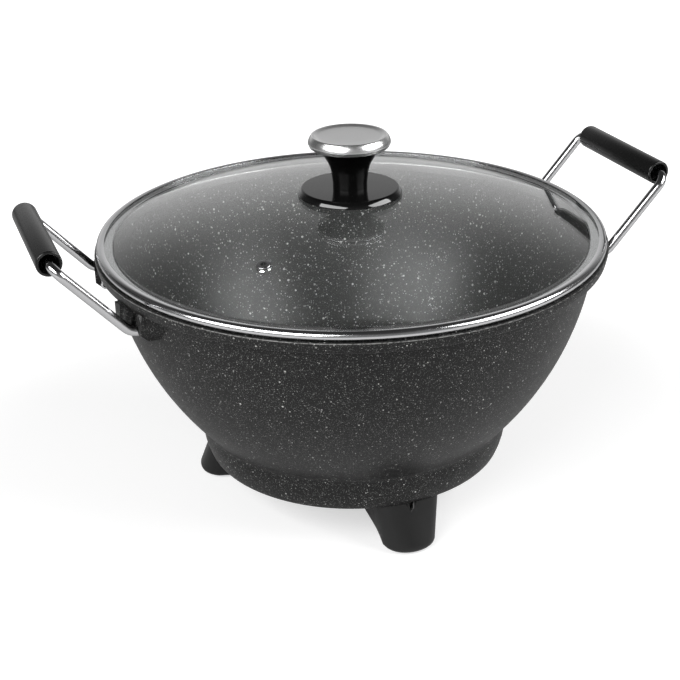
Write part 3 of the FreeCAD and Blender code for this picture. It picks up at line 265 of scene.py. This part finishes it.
def turned(name, outline, segments, frame_at=None):
    """A solid of revolution: (r, z) goes to (r cos t, r sin t, z) for t all the way round.

    frame_at, a 4 x 4 matrix in millimetres, puts the turned points elsewhere.
    """
    angle = np.linspace(0, 2 * np.pi, segments, endpoint=False)
    radius, height = outline[:, :1], outline[:, 1:]
    points = np.stack([radius * np.cos(angle), radius * np.sin(angle),
                       np.repeat(height, segments, 1)], -1)
    if frame_at is not None:
        frame_at = np.array(frame_at)
        points = points @ frame_at[:3, :3].T + frame_at[:3, 3]
    return surface_piece(name, points, closed_along=True, closed_across=True)


def round_bar(name, line, radius, tip=0.8, tip_steps=6, sides=36):
    """A round bar along a line of points, with softened ends.

    Each ring is point + radius * (cos u * side + sin u * up), where side and up are carried along
    the line without twist, and the first and last rings follow a quarter circle of the tip's radius.
    """
    turn = np.radians(np.linspace(0, 90, tip_steps))
    start, end = unit(line[1] - line[0]), unit(line[-1] - line[-2])
    inset = tip * (1 - np.sin(turn))[:, None]
    line = np.concatenate([line[:1], line[0] + start * inset[::-1], line[1:-1],
                           line[-1] - end * inset, line[-1:]])
    head = tip_steps + 1
    shrink = radius - tip + tip * np.cos(turn)
    radii = np.concatenate([[0.0], shrink[::-1], np.full(len(line) - 2 * head, radius), shrink, [0.0]])
    tangent = np.concatenate([[start] * head, np.gradient(line, axis=0)[head:-head], [end] * head])
    tangent = tangent / np.linalg.norm(tangent, axis=1)[:, None]
    last_side = np.array([0.31, 0.17, 0.93])
    rows = []
    for direction in tangent:
        last_side = unit(last_side - direction * (last_side @ direction))
        rows.append(last_side)
    side = np.array(rows)
    up = np.cross(tangent, side)
    angle = np.linspace(0, 2 * np.pi, sides, endpoint=False)[None, :, None]
    ring = side[:, None] * np.cos(angle) + up[:, None] * np.sin(angle)
    return surface_piece(name, line[:, None] + ring * radii[:, None, None], closed_across=True)


# ---------------------------------------------------------------- shader nodes

class Signal:
    """A number or colour that a node gives out, used in plain sums."""

    def __init__(self, graph, socket):
        self.graph = graph
        self.socket = socket

    def sum_with(self, operation, *values):
        """One Math node on two values."""
        return self.graph.node("Math", {"operation": operation}, dict(enumerate(values)))

    def __add__(self, other):
        return self.sum_with("ADD", self, other)

    def __sub__(self, other):
        return self.sum_with("SUBTRACT", self, other)

    def __rsub__(self, other):
        return self.sum_with("SUBTRACT", other, self)

    def __mul__(self, other):
        return self.sum_with("MULTIPLY", self, other)

    def __pow__(self, other):
        return self.sum_with("POWER", self, other)

    __radd__ = __add__
    __rmul__ = __mul__

    def above(self, edge, softness):
        """0 below the edge, 1 above it, with a soft step between."""
        return self.graph.node("MapRange", {"interpolation_type": "SMOOTHSTEP"},
                               {"Value": self, "From Min": edge, "From Max": edge + softness})

    def ranged(self, low, high):
        """0 to 1 mapped on to low to high."""
        return self.graph.node("MapRange", {}, {"Value": self, "To Min": low, "To Max": high})


class Nodes:
    """A node tree that is filled one node at a time."""

    def __init__(self, owner, output):
        owner.use_nodes = True
        self.tree = owner.node_tree
        self.tree.nodes.clear()
        self.output = self.tree.nodes.new(output)

    def node(self, kind, settings=None, values=None, out=0):
        """Any node: its kind, its settings, then the values or links of its sockets."""
        node = self.tree.nodes.new("ShaderNode" + kind)
        for key, setting in (settings or {}).items():
            setattr(node, key, setting)
        for key, number in (values or {}).items():
            if isinstance(number, Signal):
                self.tree.links.new(number.socket, node.inputs[key])
            else:
                node.inputs[key].default_value = number
        return Signal(self, node.outputs[out])

    def parts(self, kind, values=None, names=(0, 1, 2)):
        """Several outputs of one node."""
        outputs = self.node(kind, {}, values).socket.node.outputs
        return [Signal(self, outputs[name]) for name in names]

    def largest(self, first, second):
        """The larger of two values."""
        return self.node("Math", {"operation": "MAXIMUM"}, {0: first, 1: second})

    def mix(self, share, first, second):
        """One colour at share 0, the other at share 1: sockets 6 and 7 of the Mix node, and 2 out."""
        return self.node("Mix", {"data_type": "RGBA"}, {0: share, 6: first, 7: second}, out=2)

    def close(self, signal):
        """Link a shader to the output."""
        self.tree.links.new(signal.socket, self.output.inputs[0])


class Finish(Nodes):
    """A material around one Principled shader, with the shader's plain values set on it."""

    def __init__(self, name, **plain):
        self.material = bpy.data.materials.new(name)
        super().__init__(self.material, "ShaderNodeOutputMaterial")
        self.shader = self.tree.nodes.new("ShaderNodeBsdfPrincipled")
        self.close(Signal(self, self.shader.outputs[0]))
        for socket, number in plain.items():
            self.shader.inputs[socket.replace("_", " ")].default_value = number

    def feed(self, socket, signal):
        """Link a signal to one of the shader's sockets."""
        self.tree.links.new(signal.socket, self.shader.inputs[socket])

    def place(self):
        """Object coordinates."""
        return self.node("TexCoord", out="Object")

    def noise(self, scale, detail=2.0):
        """Cloudy noise from 0 to 1, scale cells to the metre."""
        return self.node("TexNoise", {}, {"Vector": self.place(), "Scale": scale, "Detail": detail})

    def reach_and_height(self):
        """Distance from the upright axis, and height, both in metres."""
        across, along, height = self.parts("SeparateXYZ", {"Vector": self.place()})
        return (across * across + along * along) ** 0.5, height

    def bump(self, height, distance, strength):
        """Feed the shader's Normal from a height."""
        self.feed("Normal", self.node("Bump", {}, {"Height": height, "Distance": distance,
                                                   "Strength": strength}))


def grey(level):
    """An opaque grey."""
    return (level, level, level, 1.0)


# ---------------------------------------------------------------- finishes

FLECK = (0.74, 0.74, 0.72, 1.0)


def flecks(finish, scale, share, smallest, largest, softness, dimmest=0.35):
    """Round spots of many sizes: a share of the cells of a Voronoi pattern carries a ball at its middle.

    The cell's own random colour picks which cells carry one, how wide it is and how bright.
    """
    distance, colour = finish.parts("TexVoronoi", {"Vector": finish.place(), "Scale": scale},
                                    names=("Distance", "Color"))
    pick, width, bright = finish.parts("SeparateColor", {"Color": colour})
    radius = (width ** 2.0).ranged(smallest, largest)
    disc = 1 - (distance - radius).above(-softness, softness * 2)
    return disc * pick.above(1 - share, 0.001) * bright.ranged(dimmest, 1.0)


def coating(name, level):
    """Satin non-stick coating with light flecks, painted paler inside the bowl for the stronger light that
    falls there, and a painted highlight along the lip's edge.

    Inside means nearer the axis than the middle of the wall, which is half a wall outside the arc
    centre + sqrt(curve ^ 2 - (z - axis) ^ 2) of the bowl's inside.
    """
    finish = Finish(name, Roughness=level, IOR=1.5, Specular_IOR_Level=0.31,
                    Coat_Roughness=0.40, Coat_IOR=1.5)
    reach, height = finish.reach_and_height()
    rise = height - BOWL_AXIS * MM
    wall = ((BOWL_CURVE * MM) ** 2 - rise * rise) ** 0.5 + (BOWL_CENTRE + HALF_WALL) * MM
    inside = 1 - (reach - wall).above(-0.0002, 0.0004)
    cloud = finish.noise(60.0, 3.0)
    # painted light: the ground is paler inside the bowl than outside, standing for the stronger light on
    # the inside
    ground_with_painted_inner_light = finish.mix(inside, finish.mix(cloud, grey(0.005), grey(0.008)),
                        finish.mix(cloud, grey(0.020), grey(0.032)))
    # the flecks are real; inside the bowl they are drawn larger, and the fine ones brighter, as painted
    # light
    broad = flecks(finish, scale=260.0, share=0.72, smallest=0.06, largest=inside * 0.07 + 0.16,
                   softness=0.02)
    fine = flecks(finish, scale=640.0, share=0.70, smallest=0.11, largest=inside * 0.10 + 0.25,
                  softness=0.04)
    dust = flecks(finish, scale=1500.0, share=0.80, smallest=0.22, largest=0.44,
                  softness=0.06, dimmest=0.1)
    marks = finish.largest(finish.largest(broad, fine * (inside * 0.30 + 0.60)), dust * 0.24)
    # painted highlight: a pale, noise-broken line along the lip's top edge; the lower roughness there is
    # real gloss
    lip_edge = reach.above((LIP_REACH - LIP_ROUND) * MM, 0.0006)
    lip = lip_edge * height.above(LIP_HEIGHT * MM - 0.0008, 0.0005)
    painted_lip_highlight = lip * finish.noise(700.0).ranged(-0.25, 0.75)
    finish.feed("Base Color", finish.mix(finish.largest(marks, painted_lip_highlight), ground_with_painted_inner_light, FLECK))
    finish.feed("Roughness", finish.noise(240.0).ranged(level - 0.05, level + 0.06) - lip * 0.12)
    finish.feed("Coat Weight", inside * 0.6)
    skin = finish.noise(800.0) * 0.6 + finish.noise(180.0, 1.0) * 0.4 + marks * 0.4
    finish.bump(skin, 0.00010, 0.5)
    return finish.material


def moulded(name, level, roughness, grain, depth):
    """Moulded plastic, rubber, paint or ceramic: one grey, with a fine grain in its skin."""
    finish = Finish(name, Roughness=roughness, IOR=1.48)
    cloud = finish.noise(90.0, 3.0)
    finish.feed("Base Color", finish.mix(cloud, grey(level * 0.8), grey(level * 1.25)))
    finish.feed("Roughness", finish.noise(grain / 4).ranged(roughness * 0.88, roughness * 1.14))
    finish.bump(finish.noise(grain), depth, 0.5)
    return finish.material


def metal(name, colour, roughness, grain=900.0, depth=0.000002):
    """Polished or plain metal with faint cloudiness in its gloss."""
    finish = Finish(name, Metallic=1.0, Roughness=roughness)
    cloud = finish.noise(70.0, 3.0)
    darker = tuple(c * 0.95 for c in colour[:3]) + (1.0,)
    finish.feed("Base Color", finish.mix(cloud, darker, colour))
    finish.feed("Roughness", finish.noise(grain / 3, 3.0).ranged(roughness * 0.8, roughness * 1.25))
    finish.bump(finish.noise(grain), depth, 0.2)
    return finish.material


def spun_steel(name):
    """Cap steel: a satin top with round brush lines, and a smoother side."""
    finish = Finish(name, Metallic=1.0, Roughness=0.3)
    reach, _ = finish.reach_and_height()
    lines = finish.node("TexNoise", {"noise_dimensions": "1D"},
                        {"W": reach, "Scale": 4200.0, "Detail": 3.0})
    top = 1 - reach.above(CAP_BRUSHED * MM, 0.0006)
    finish.feed("Base Color", finish.mix(lines, grey(0.84), grey(0.98)))
    finish.feed("Roughness", top * lines.ranged(0.36, 0.46) + (1 - top) * 0.27)
    finish.bump(lines * top, 0.00001, 0.4)
    return finish.material


def clear_glass(name):
    """Clear tempered glass, which lets shadow rays and scattered light straight through."""
    finish = Finish(name, Transmission_Weight=1.0, IOR=1.46, Roughness=0.0,
                    Base_Color=(0.95, 0.96, 0.955, 1.0))
    finish.feed("Roughness", finish.noise(30.0).ranged(0.0, 0.01))
    shadow, diffuse = finish.parts("LightPath", names=("Is Shadow Ray", "Is Diffuse Ray"))
    open_way = finish.node("BsdfTransparent", {}, {"Color": (0.92, 0.93, 0.925, 1.0)})
    solid = Signal(finish, finish.shader.outputs[0])
    finish.close(finish.node("MixShader", {}, {0: finish.largest(shadow, diffuse), 1: solid, 2: open_way}))
    return finish.material


def knob_gloss(name):
    """Black knob plastic: glossy on the broad flange and its bevel, satin above."""
    finish = Finish(name, Roughness=0.2, IOR=1.5, Specular_IOR_Level=0.2,
                    Coat_Roughness=0.02, Coat_IOR=1.58)
    _, height = finish.reach_and_height()
    flange = 1 - height.above(FLANGE_TOP * MM + 0.00003, 0.0001)
    bevel = 1 - height.above(BEVEL_FOOT[1] * MM, 0.0004)
    cloud = finish.noise(90.0, 3.0)
    finish.feed("Base Color", finish.mix(cloud, grey(0.0025), grey(0.004)))
    finish.feed("Roughness", flange * -0.10 + finish.noise(400.0).ranged(0.20, 0.24))
    finish.feed("Coat Weight", flange * 0.35 + bevel * 0.65)
    finish.bump(finish.noise(300.0), 0.000002, 0.3)
    return finish.material


FINISHES = {
    "coated_casting": coating("stone_coating", 0.37),
    "bare_casting": metal("cast_aluminium", (0.55, 0.55, 0.55, 1), 0.5, 500.0, 0.00008),
    "element_sheath": metal("dull_sheath", (0.28, 0.27, 0.26, 1), 0.5),
    "contact_brass": metal("brass", (0.75, 0.62, 0.35, 1), 0.2),
    "bush_ceramic": moulded("ceramic", 0.8, 0.6, 800.0, 0.00003),
    "leg_plastic": moulded("leg_moulding", 0.008, 0.38, 1400.0, 0.00003),
    "cover_steel": moulded("cover_paint", 0.05, 0.4, 900.0, 0.00003),
    "screw_steel": metal("screw_metal", (0.62, 0.62, 0.62, 1), 0.3),
    "pad_rubber": moulded("rubber", 0.025, 0.7, 1500.0, 0.00005),
    "handle_chrome": metal("chrome", (0.70, 0.70, 0.71, 1), 0.11, depth=0.0000006),
    "grip_plastic": moulded("grip_moulding", 0.005, 0.26, 1800.0, 0.00001),
    "lid_glass": clear_glass("lid_clear_glass"),
    "rim_steel": metal("rim_metal", (0.74, 0.74, 0.75, 1), 0.16, depth=0.0000004),
    "knob_plastic": knob_gloss("knob_gloss"),
    "cap_steel": spun_steel("cap_metal"),
}

SLOTS = {row["node"]: row["material_slot"] for row in frame["record"]["subparts"]}


def dress(piece, body, slot, node):
    """Give a new piece its finish and its body, and hide the node that it stands for."""
    piece.data.materials.clear()
    piece.data.materials.append(FINISHES[slot])
    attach(piece, body)
    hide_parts(node)


for node_name, cad_object in nodes.items():
    for material_slot in cad_object.material_slots:
        material_slot.material = FINISHES[SLOTS[node_name]]


# ---------------------------------------------------------------- bowl, legs and small parts

COPIES = {
    "wok_pan": ("cast_bowl", "base"), "leg_front": ("front_leg", "base"),
    "leg_back_left": ("left_leg", "base"), "leg_back_right": ("right_leg", "base"),
    "lug_screws_left": ("left_wire_screws", "base"), "lug_screws_right": ("right_wire_screws", "base"),
    "foot_pad_front": ("front_pad", "base"), "foot_pad_back_left": ("left_pad", "base"),
    "foot_pad_back_right": ("right_pad", "base"), "vent_grommet": ("steam_eyelet", "lid"),
    "inlet_housing": ("socket_shroud", "base"), "base_cover": ("bottom_plate", "base"),
    "cover_screws": ("plate_screws", "base"), "leg_screws": ("leg_fixings", "base"),
}
for node_name, (piece_name, body_name) in COPIES.items():
    angle = LEG_SMOOTH_ANGLE if "leg" in node_name else SMOOTH_ANGLE
    dress(smooth_copy(piece_name, node_name, angle), body_name, SLOTS[node_name], node_name)


# ---------------------------------------------------------------- handles

for side_name, side in (("left", -1), ("right", 1)):
    half_path = [(side * WIRE_SEAT, WIRE_SPAN, WIRE_FOOT_HEIGHT),
                 (side * WIRE_FOOT, WIRE_SPAN, WIRE_FOOT_HEIGHT),
                 (side * GRIP_REACH, WIRE_SPAN, GRIP_HEIGHT)]
    other_path = [(x, -y, z) for x, y, z in reversed(half_path)]
    bends = [WIRE_LOW_BEND, WIRE_HIGH_BEND, WIRE_HIGH_BEND, WIRE_LOW_BEND]
    wire = round_bar(side_name + "_wire", bent_line(half_path + other_path, bends), WIRE_RADIUS)
    dress(wire, "base", "handle_chrome", "handle_wire_" + side_name)

    half_sleeve = [(GRIP_BORE, GRIP_BORE_HALF), (GRIP_HOLLOW, GRIP_HOLLOW_FLOOR),
                   (GRIP_HOLLOW, GRIP_HALF), (GRIP_RADIUS, GRIP_HALF)]
    other_sleeve = [(radius, -along) for radius, along in reversed(half_sleeve)]
    sleeve = rounded(half_sleeve + other_sleeve, GRIP_ROUNDS + GRIP_ROUNDS[::-1])
    lay_down = Matrix.Translation((side * GRIP_REACH, 0, GRIP_HEIGHT)) @ Matrix.Rotation(np.pi / 2, 4, "X")
    grip = turned(side_name + "_sleeve", sleeve, segments=96, frame_at=lay_down)
    dress(grip, side_name + "_grip", "grip_plastic", "handle_grip_" + side_name)


# ---------------------------------------------------------------- lid

glass_outline = np.concatenate([
    rounded([(GLASS_EDGE, GLASS_LOW), (GLASS_EDGE, GLASS_HIGH), (DOME_FOOT, GLASS_HIGH),
             (DOME_FOOT, GLASS_LOW)], [GLASS_ROUND, GLASS_ROUND], steps=12),
    [(radius, GLASS_HIGH) for radius in FLAT_ZONE],
    ball_arc(DOME_CENTRE, DOME_CURVE, DOME_FOOT, GLASS_BORE, steps=48),
    ball_arc(DOME_CENTRE, DOME_CURVE - GLASS, GLASS_BORE, DOME_FOOT_UNDER, steps=48),
    [(radius, GLASS_LOW) for radius in FLAT_ZONE_UNDER],
])
glass = turned("dome_glass", glass_outline, segments=288)

vent_height = DOME_CENTRE + np.sqrt(DOME_CURVE ** 2 - VENT_REACH ** 2)
vent_spot = Vector((VENT_REACH * np.cos(VENT_ANGLE), VENT_REACH * np.sin(VENT_ANGLE), vent_height))
vent_lean = (vent_spot - Vector((0, 0, DOME_CENTRE))).to_track_quat("Z", "Y").to_matrix().to_4x4()
drill_outline = np.array([(0, DRILL_LOW), (VENT_BORE, DRILL_LOW),
                          (VENT_BORE, DRILL_HIGH), (0, DRILL_HIGH)])
drill = turned("drill", drill_outline, segments=32, frame_at=Matrix.Translation(vent_spot) @ vent_lean)
bore = glass.modifiers.new("vent_bore", "BOOLEAN")
bore.object = drill
bore.operation = "DIFFERENCE"
bored = bpy.data.meshes.new_from_object(glass.evaluated_get(bpy.context.evaluated_depsgraph_get()))
glass.modifiers.clear()
glass.data = bored
bpy.data.objects.remove(drill)
clean_and_smooth(bored, GLASS_SMOOTH_ANGLE)
dress(glass, "lid", "lid_glass", "lid_glass")

ring_outline = np.concatenate([
    [(RING_EDGE, RING_UNDER), (RING_EDGE, RING_TOP - RING_BREAK)],
    arcs((RING_EDGE + RING_BREAK, RING_TOP), (CROWN, CROWN_CURVE, 1, 10), (NOSE_TIP, NOSE_CURVE, 1, 24),
         (NOSE_LOW, NOSE, 1, 20)),
    arcs((SKIRT + FOLD, PLATE_UNDER), ((SKIRT, PLATE_UNDER - FOLD), FOLD, -1, 8)),
    [(SKIRT, SKIRT_FOOT + SKIRT_BREAK_HEIGHT), (SKIRT - SKIRT_BREAK, SKIRT_FOOT),
     (SKIRT - SHEET + SKIRT_BREAK, SKIRT_FOOT), (SKIRT - SHEET, SKIRT_FOOT + SKIRT_BREAK_HEIGHT)],
    arcs((SKIRT - SHEET, PLATE_UNDER - FOLD), ((SKIRT + FOLD, PLATE_UNDER + SHEET), FOLD + SHEET, 1, 8)),
    arcs((NOSE_AXIS, MIDDLE - NOSE_INSIDE), ((NOSE_AXIS + NOSE_INSIDE, MIDDLE), NOSE_INSIDE, -1, 10),
         ((NOSE_AXIS, MIDDLE + NOSE_INSIDE), NOSE_INSIDE, -1, 10)),
])
dress(turned("steel_ring", ring_outline, segments=512), "lid", "rim_steel", "lid_rim")


# ---------------------------------------------------------------- knob

knob_outline = np.concatenate([
    [(KNOB_BORE, SEAT_HEIGHT), (SEAT_RADIUS, SEAT_HEIGHT), (SEAT_RADIUS, HOLLOW_TOP),
     (HOLLOW_RADIUS, HOLLOW_TOP), (HOLLOW_RADIUS, FLANGE_LOW + HOLLOW_BREAK_HEIGHT),
     (HOLLOW_RADIUS + HOLLOW_BREAK, FLANGE_LOW)],
    arcs((FLANGE_RADIUS - FLANGE_ROUND, FLANGE_LOW),
         ((FLANGE_RADIUS, FLANGE_LOW + FLANGE_ROUND), FLANGE_ROUND, -1, 6)),
    arcs(FLANGE_SIDE, (BEVEL_FOOT, FLANGE_SIDE_CURVE, -1, 8)),
    arcs(BEVEL_START, (BEVEL_END, BEVEL_CURVE, -1, 8)),
    WAIST_FOOT,
    arcs(WAIST_LOW, (WAIST_HIGH, WAIST_CURVE, 1, 12), (THROAT, THROAT_CURVE, 1, 14),
         (SHOULDER, SHOULDER_CURVE, 1, 14)),
    UNDER_CAP,
])
dress(turned("turned_knob", knob_outline, segments=200), "lid", "knob_plastic", "knob_body")

cap_outline = np.concatenate([
    CAP_INSIDE,
    arcs(CAP_LIP, (CAP_LIP_TOP, CAP_LIP_ROUND, -1, 5)),
    arcs(CAP_FLARE, (CAP_WIDEST, CAP_FLARE_CURVE, -1, 6), (CAP_SIDE_TOP, CAP_SIDE_CURVE, -1, 10),
         (CAP_CREST, CAP_CREST_ROUND, -1, 7), (CREST_INSIDE, CREST_INSIDE_CURVE, -1, 6)),
    arcs(DISH_START, (DISH_END, DISH_CURVE, 1, 6)),
    DISH_FLOOR,
])
dress(turned("steel_cap", cap_outline, segments=200), "lid", "cap_steel", "knob_cap")


# ---------------------------------------------------------------- studio

FLOOR_HALF = 6.0
FLOOR_GLOW = 0.56               # share of full white that the eye sees on the floor near the object
GLOW_START, GLOW_RUN = 0.24, 0.34   # where that share starts to grow, and over what length
WORLD_LIGHT = 0.15              # the even light on the object
WALL_LOW, WALL_HIGH = 0.66, 0.02    # the surrounding in glass and metal, low down and high up
FRONT_WAY = (-0.345, -0.939)
LAMP_AIM = Vector((0, 0, 0.12))


def soft_box(name, azimuth, elevation, distance, width, height, level):
    """A rectangular lamp that faces the object, level being the brightness of its own face."""
    lamp = bpy.data.lights.new(name, "AREA")
    lamp.shape = "RECTANGLE"
    lamp.size, lamp.size_y = width, height
    lamp.energy = level * width * height * np.pi
    turn, lift = np.radians(azimuth), np.radians(elevation)
    away = Vector((np.cos(turn) * np.cos(lift), np.sin(turn) * np.cos(lift), np.sin(lift)))
    holder = placed(name, lamp)
    holder.location = LAMP_AIM + away * distance
    holder.rotation_euler = away.to_track_quat("Z", "Y").to_euler()


def studio_floor():
    """A wide pale plane. To the eye and through glass it glows too, up to white away from the object."""
    half = FLOOR_HALF
    mesh = bpy.data.meshes.new("paper_floor")
    mesh.from_pydata([(-half, -half, 0), (half, -half, 0), (half, half, 0), (-half, half, 0)],
                     [], [(0, 1, 2, 3)])
    finish = Finish("white_paper", Roughness=0.9, Specular_IOR_Level=0.0, Emission_Strength=1.0)
    eye, glass_ray = finish.parts("LightPath", names=("Is Camera Ray", "Is Transmission Ray"))
    finish.feed("Base Color", finish.mix(finish.noise(3.0), grey(0.60), grey(0.62)))
    reach, _ = finish.reach_and_height()
    far = reach.above(GLOW_START, GLOW_RUN)
    glow = finish.largest(eye, glass_ray) * (far * (1 - FLOOR_GLOW) + FLOOR_GLOW)
    finish.feed("Emission Color", finish.mix(glow, grey(0.0), grey(1.0)))
    mesh.materials.append(finish.material)
    placed("paper_floor", mesh)


def studio_world():
    """Even dim light. The eye sees plain white.

    Glass and metal see a wall that is pale low down and straight behind the object and dim above
    and beside it. In front they see a dim room with a paler line along the horizon.
    """
    world = bpy.data.worlds.new("plain_studio")
    bpy.context.scene.world = world
    around = Nodes(world, "ShaderNodeOutputWorld")
    direction = around.node("TexCoord", out="Generated")
    across, along, height = around.parts("SeparateXYZ", {"Vector": direction})
    facing = across * FRONT_WAY[0] + along * FRONT_WAY[1]
    behind = (0 - facing).above(0.55, 0.45).ranged(0.08, 0.98)
    in_front = facing.above(-0.1, 0.4)
    wall = (WALL_LOW - height.above(0.20, 0.68) * (WALL_LOW - WALL_HIGH)) * behind
    horizon = 1 - height.above(0.0, 0.10)
    room = 1 - height.above(0.35, 0.5)
    paper = wall * (1 - in_front) + (horizon * 0.3 + room * 0.16) * in_front + 0.03
    eye, glass_ray, gloss_ray = around.parts(
        "LightPath", names=("Is Camera Ray", "Is Transmission Ray", "Is Glossy Ray"))
    seen = around.largest(glass_ray, gloss_ray) * (paper - WORLD_LIGHT) + WORLD_LIGHT
    level = eye + (1 - eye) * seen
    around.close(around.node("Background", {}, {"Color": grey(1.0), "Strength": level}))


studio_world()
studio_floor()
soft_box("left_box", azimuth=-153.0, elevation=35.0, distance=1.7, width=1.7, height=0.85, level=6.2)
soft_box("right_box", azimuth=-35.0, elevation=34.0, distance=1.7, width=1.4, height=0.85, level=6.2)


# ---------------------------------------------------------------- camera
# It looks down by the pitch, is turned round the upright axis, and is rolled about its line of sight.

CAMERA_PLACE = Vector((-0.28635, -0.75598, 0.48588))
CAMERA_LENS, CAMERA_SENSOR = 71.93, 36.0
CAMERA_PITCH, CAMERA_ROLL, CAMERA_TURN = np.radians((25.438, -1.213, 20.154))

forward = Vector((0, np.cos(CAMERA_PITCH), -np.sin(CAMERA_PITCH)))
upward = Vector((0, np.sin(CAMERA_PITCH), np.cos(CAMERA_PITCH)))
level_side = Vector((1, 0, 0))
tilted_side = level_side * np.cos(CAMERA_ROLL) + upward * np.sin(CAMERA_ROLL)
tilted_up = upward * np.cos(CAMERA_ROLL) - level_side * np.sin(CAMERA_ROLL)
turn_about = Matrix.Rotation(-CAMERA_TURN, 3, "Z")
basis = Matrix((turn_about @ tilted_side, turn_about @ tilted_up, turn_about @ -forward)).transposed()

camera_data = bpy.data.cameras.new("studio_camera")
camera_data.lens = CAMERA_LENS
camera_data.sensor_width = CAMERA_SENSOR
camera = placed("studio_camera", camera_data)
camera.matrix_world = Matrix.Translation(CAMERA_PLACE) @ basis.to_4x4()
bpy.context.scene.camera = camera
bpy.context.scene.view_settings.view_transform = "Standard"
